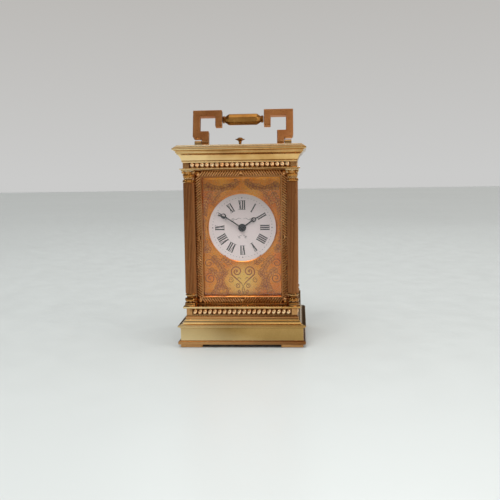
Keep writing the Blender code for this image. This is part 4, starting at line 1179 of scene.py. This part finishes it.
def make_button():
    low, high, _, centre = box_mm("repeat_button")
    outline = profile((
        (0.9, low.z), (0.97, low.z + 0.2), (0.97, 146.4), (1.15, 147.5, 0.05), (2.0, 148.4, 0.2),
        (3.1, 148.8, 0.1), (3.35, 149.15, -0.1), (3.1, 149.45, -0.08), (2.1, 149.55), (1.9, 149.8, 0.05),
        (1.1, high.z - 0.15, -0.15), (0.2, high.z, -0.03),
    ))
    groups = [(grip_brass, [shifted(lathe(outline, 36), y=centre.y)])]
    piece("mushroom_button", groups, "button", ("repeat_button",))


def make_knob():
    low, _, size, centre = box_mm("door_knob")
    depth, radius = size.y, size.x / 2

    def knurl(angle, up):
        return 0.08 * math.cos(24 * angle) if 0.45 * depth < up < 0.8 * depth else 0.0

    outline = profile((
        (radius * 0.8, 0.0), (radius * 0.8, depth * 0.12), (radius * 0.4, depth * 0.25, 0.1),
        (radius * 0.4, depth * 0.4), (radius * 0.9, depth * 0.5, 0.08), (radius * 0.96, depth * 0.6),
        (radius * 0.96, depth * 0.75), (radius * 0.75, depth * 0.92, -0.1), (radius * 0.2, depth, -0.05),
    ))
    shape = shifted(outwards(lathe(outline, 48, knurl), "back"), centre.x, low.y, centre.z)
    piece("knurled_knob", [(brass, [shape])], "door", ("door_knob",))


# --- movement


def dress_movement():
    """The CAD solids that stay get their finish here."""
    looks = {
        plate_brass: (
            "base_plate", "front_plate", "back_plate", "platform", "gong_block", "going_barrel",
            "strike_barrel",
        ),
        wheel_brass: (
            "intermediate_wheel", "centre_wheel", "hour_wheel", "minute_wheel", "third_wheel",
            "contrate_wheel", "escape_wheel", "balance_wheel", "strike_second_wheel",
            "strike_third_wheel", "fly",
        ),
        steel: ("pallet_lever", "hammer", "gong", "repeat_lever"),
        blued: ("hairspring",),
        brass: ("back_frame",),
    }
    for material, names in looks.items():
        for name in names:
            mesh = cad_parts[name].data
            mesh.materials.clear()
            mesh.materials.append(material)


def screws_at(xs, ys, z, radius, height):
    return [shifted(screw(radius, height), x, y, z) for x in xs for y in ys]


def make_small_parts():
    """Screws and jewels that hold the plates and the arbors."""
    rear = box_mm("back_plate")[1].y
    head = outwards(screw(1.9, 0.9), "back")
    screws = [shifted(head, x, rear, z) for x in (-PILLAR_X, PILLAR_X) for z in PILLAR_Z]
    piece("back_plate_screws", [(blued, screws)])
    collar = lathe(profile(((2.1, -0.05), (2.1, 0.2), (1.9, 0.4, -0.05), (1.3, 0.4), (1.2, 0.25))), 28)
    stone = lathe(profile(((1.15, -0.05), (1.15, 0.3), (0.9, 0.5, -0.06), (0.3, 0.42), (0.2, 0.3))), 24)
    settings, jewels = [], []
    for name in (
        "intermediate_wheel", "third_wheel", "contrate_wheel", "strike_second_wheel", "strike_third_wheel",
        "fly",
    ):
        centre = box_mm(name)[3]
        settings.append(shifted(outwards(collar, "back"), centre.x, rear, centre.z))
        jewels.append(shifted(outwards(stone, "back"), centre.x, rear, centre.z))
    piece("jewel_settings", [(brass, settings), (ruby, jewels)])
    shapes = screws_at((-29.5, 29.5), (-6.0, 20.0), box_mm("base_plate")[1].z, 1.7, 0.8)
    piece("base_plate_screws", [(steel, shapes)])
    shapes = screws_at((-14.6, 14.6), (-10.2, 9.6), PLATFORM_TOP, 1.2, 0.6)
    piece("platform_screws", [(blued, shapes)])


# --- studio


def make_camera():
    """The photograph's view: a little to the right of the clock's middle and looking slightly down."""
    data = bpy.data.cameras.new("photo_view")
    data.sensor_width = 36
    data.lens = 51.84
    data.clip_start = 0.01
    camera = bpy.data.objects.new("photo_view", data)
    bpy.context.scene.collection.objects.link(camera)
    view = Matrix.Translation((0.04209, -0.54677, 0.12296))
    for axis, degrees in (("Z", 3.969), ("X", 84.123), ("Z", -0.839)):
        view = view @ Matrix.Rotation(math.radians(degrees), 4, axis)
    camera.matrix_world = view
    bpy.context.scene.camera = camera


def area_light(name, at, size, power, colour=(1, 1, 1)):
    """A soft rectangular lamp that points at the clock."""
    data = bpy.data.lights.new(name, "AREA")
    data.shape = "RECTANGLE"
    data.size, data.size_y = size
    data.energy = power
    data.color = colour
    lamp = bpy.data.objects.new(name, data)
    bpy.context.scene.collection.objects.link(lamp)
    lamp.location = at
    lamp.rotation_euler = (Vector(CLOCK_MIDDLE) - Vector(at)).to_track_quat("-Z", "Y").to_euler()


def make_lamps():
    area_light("ceiling_panel", (0.1, -0.3, 1.1), (0.9, 0.5), 1.6, (1.0, 0.97, 0.93))
    area_light("right_softbox", (0.95, -0.55, 0.5), (0.25, 0.7), 1.8, (1.0, 0.95, 0.9))
    area_light("back_light", (0.1, 1.0, 0.8), (0.9, 0.4), 1.2)
    for index, at in enumerate(((-0.42, -0.75, 0.85), (0.12, -0.95, 0.7), (0.62, -0.7, 0.8))):
        area_light("spot_lamp_%d" % index, at, (0.06, 0.06), 0.35, (1.0, 0.96, 0.9))
    sky_panel = bpy.data.lights.new("sky_panel", "SUN")
    sky_panel.energy = 1.2
    sky_panel.angle = math.radians(30)
    overhead = bpy.data.objects.new("sky_panel", sky_panel)
    bpy.context.scene.collection.objects.link(overhead)
    overhead.rotation_euler = (math.radians(32), 0, math.radians(-12))
    overhead.visible_glossy = False


def make_world():
    """A plain room: what metal mirrors has pale and dark bands, what the camera sees is an even wall."""
    world = bpy.data.worlds.new("studio")
    bpy.context.scene.world = world
    world.use_nodes = True
    tree = world.node_tree
    direction = node(tree, "SeparateXYZ")
    fill(tree, direction, {0: node(tree, "TexCoord").outputs["Generated"]})

    def banded(axis, bands):
        """Colours along one axis of the direction, from one end to the other."""
        along = spread(tree, direction.outputs[axis], 0.0, 1.0, -1.0, 1.0)
        return ramp(tree, along, [(place, linear(*colour)) for place, colour in bands])

    height = banded("Z", (
        (0.0, (150, 156, 156)), (0.5, (190, 184, 178)), (0.535, (160, 150, 140)), (0.57, (70, 60, 52)),
        (0.66, (76, 66, 58)), (0.69, (220, 212, 202)), (0.73, (220, 212, 202)), (0.77, (80, 72, 64)),
        (0.84, (90, 82, 74)), (0.9, (225, 220, 214)), (1.0, (225, 220, 214)),
    ))
    across = banded("X", ((0.0, (150, 150, 152)), (0.5, (226, 222, 218)), (1.0, (255, 250, 244))))
    reflected = blend(tree, 1.0, height, across, "MULTIPLY")
    wall_height = spread(tree, direction.outputs["Z"], 0.0, 1.0, 0.0, 0.4)
    seen = ramp(tree, wall_height, ((0.0, WALL_LOW), (1.0, WALL_HIGH)))
    path = node(tree, "LightPath")
    light = blend(tree, path.outputs["Is Diffuse Ray"], reflected, SOFT_LIGHT)
    colour = blend(tree, path.outputs["Is Camera Ray"], light, seen)
    fill(tree, tree.nodes["Background"], {"Color": colour, "Strength": 1.0})
    bpy.context.scene.view_settings.view_transform = "Standard"


def make_floor():
    mesh = bpy.data.meshes.new("floor")
    half = 6.0
    corners = [(-half, -half, 0), (half, -half, 0), (half, half, 0), (-half, half, 0)]
    mesh.from_pydata(corners, [], [(0, 1, 2, 3)])
    floor = bpy.data.objects.new("floor", mesh)
    bpy.context.scene.collection.objects.link(floor)
    mesh.materials.append(surface(
        "pale_floor", FLOOR, (0.28, 0.34), patch=2.0, grain=40.0, metal=0.0, bump=0.0, mottle=0.05,
    ))


make_plinth()
make_friezes()
make_cornice()
make_columns()
make_frames()
make_glass()
make_door_frame()
make_mask()
make_dial()
make_hands()
make_handle()
make_button()
make_knob()
dress_movement()
make_small_parts()
make_camera()
make_lamps()
make_world()
make_floor()
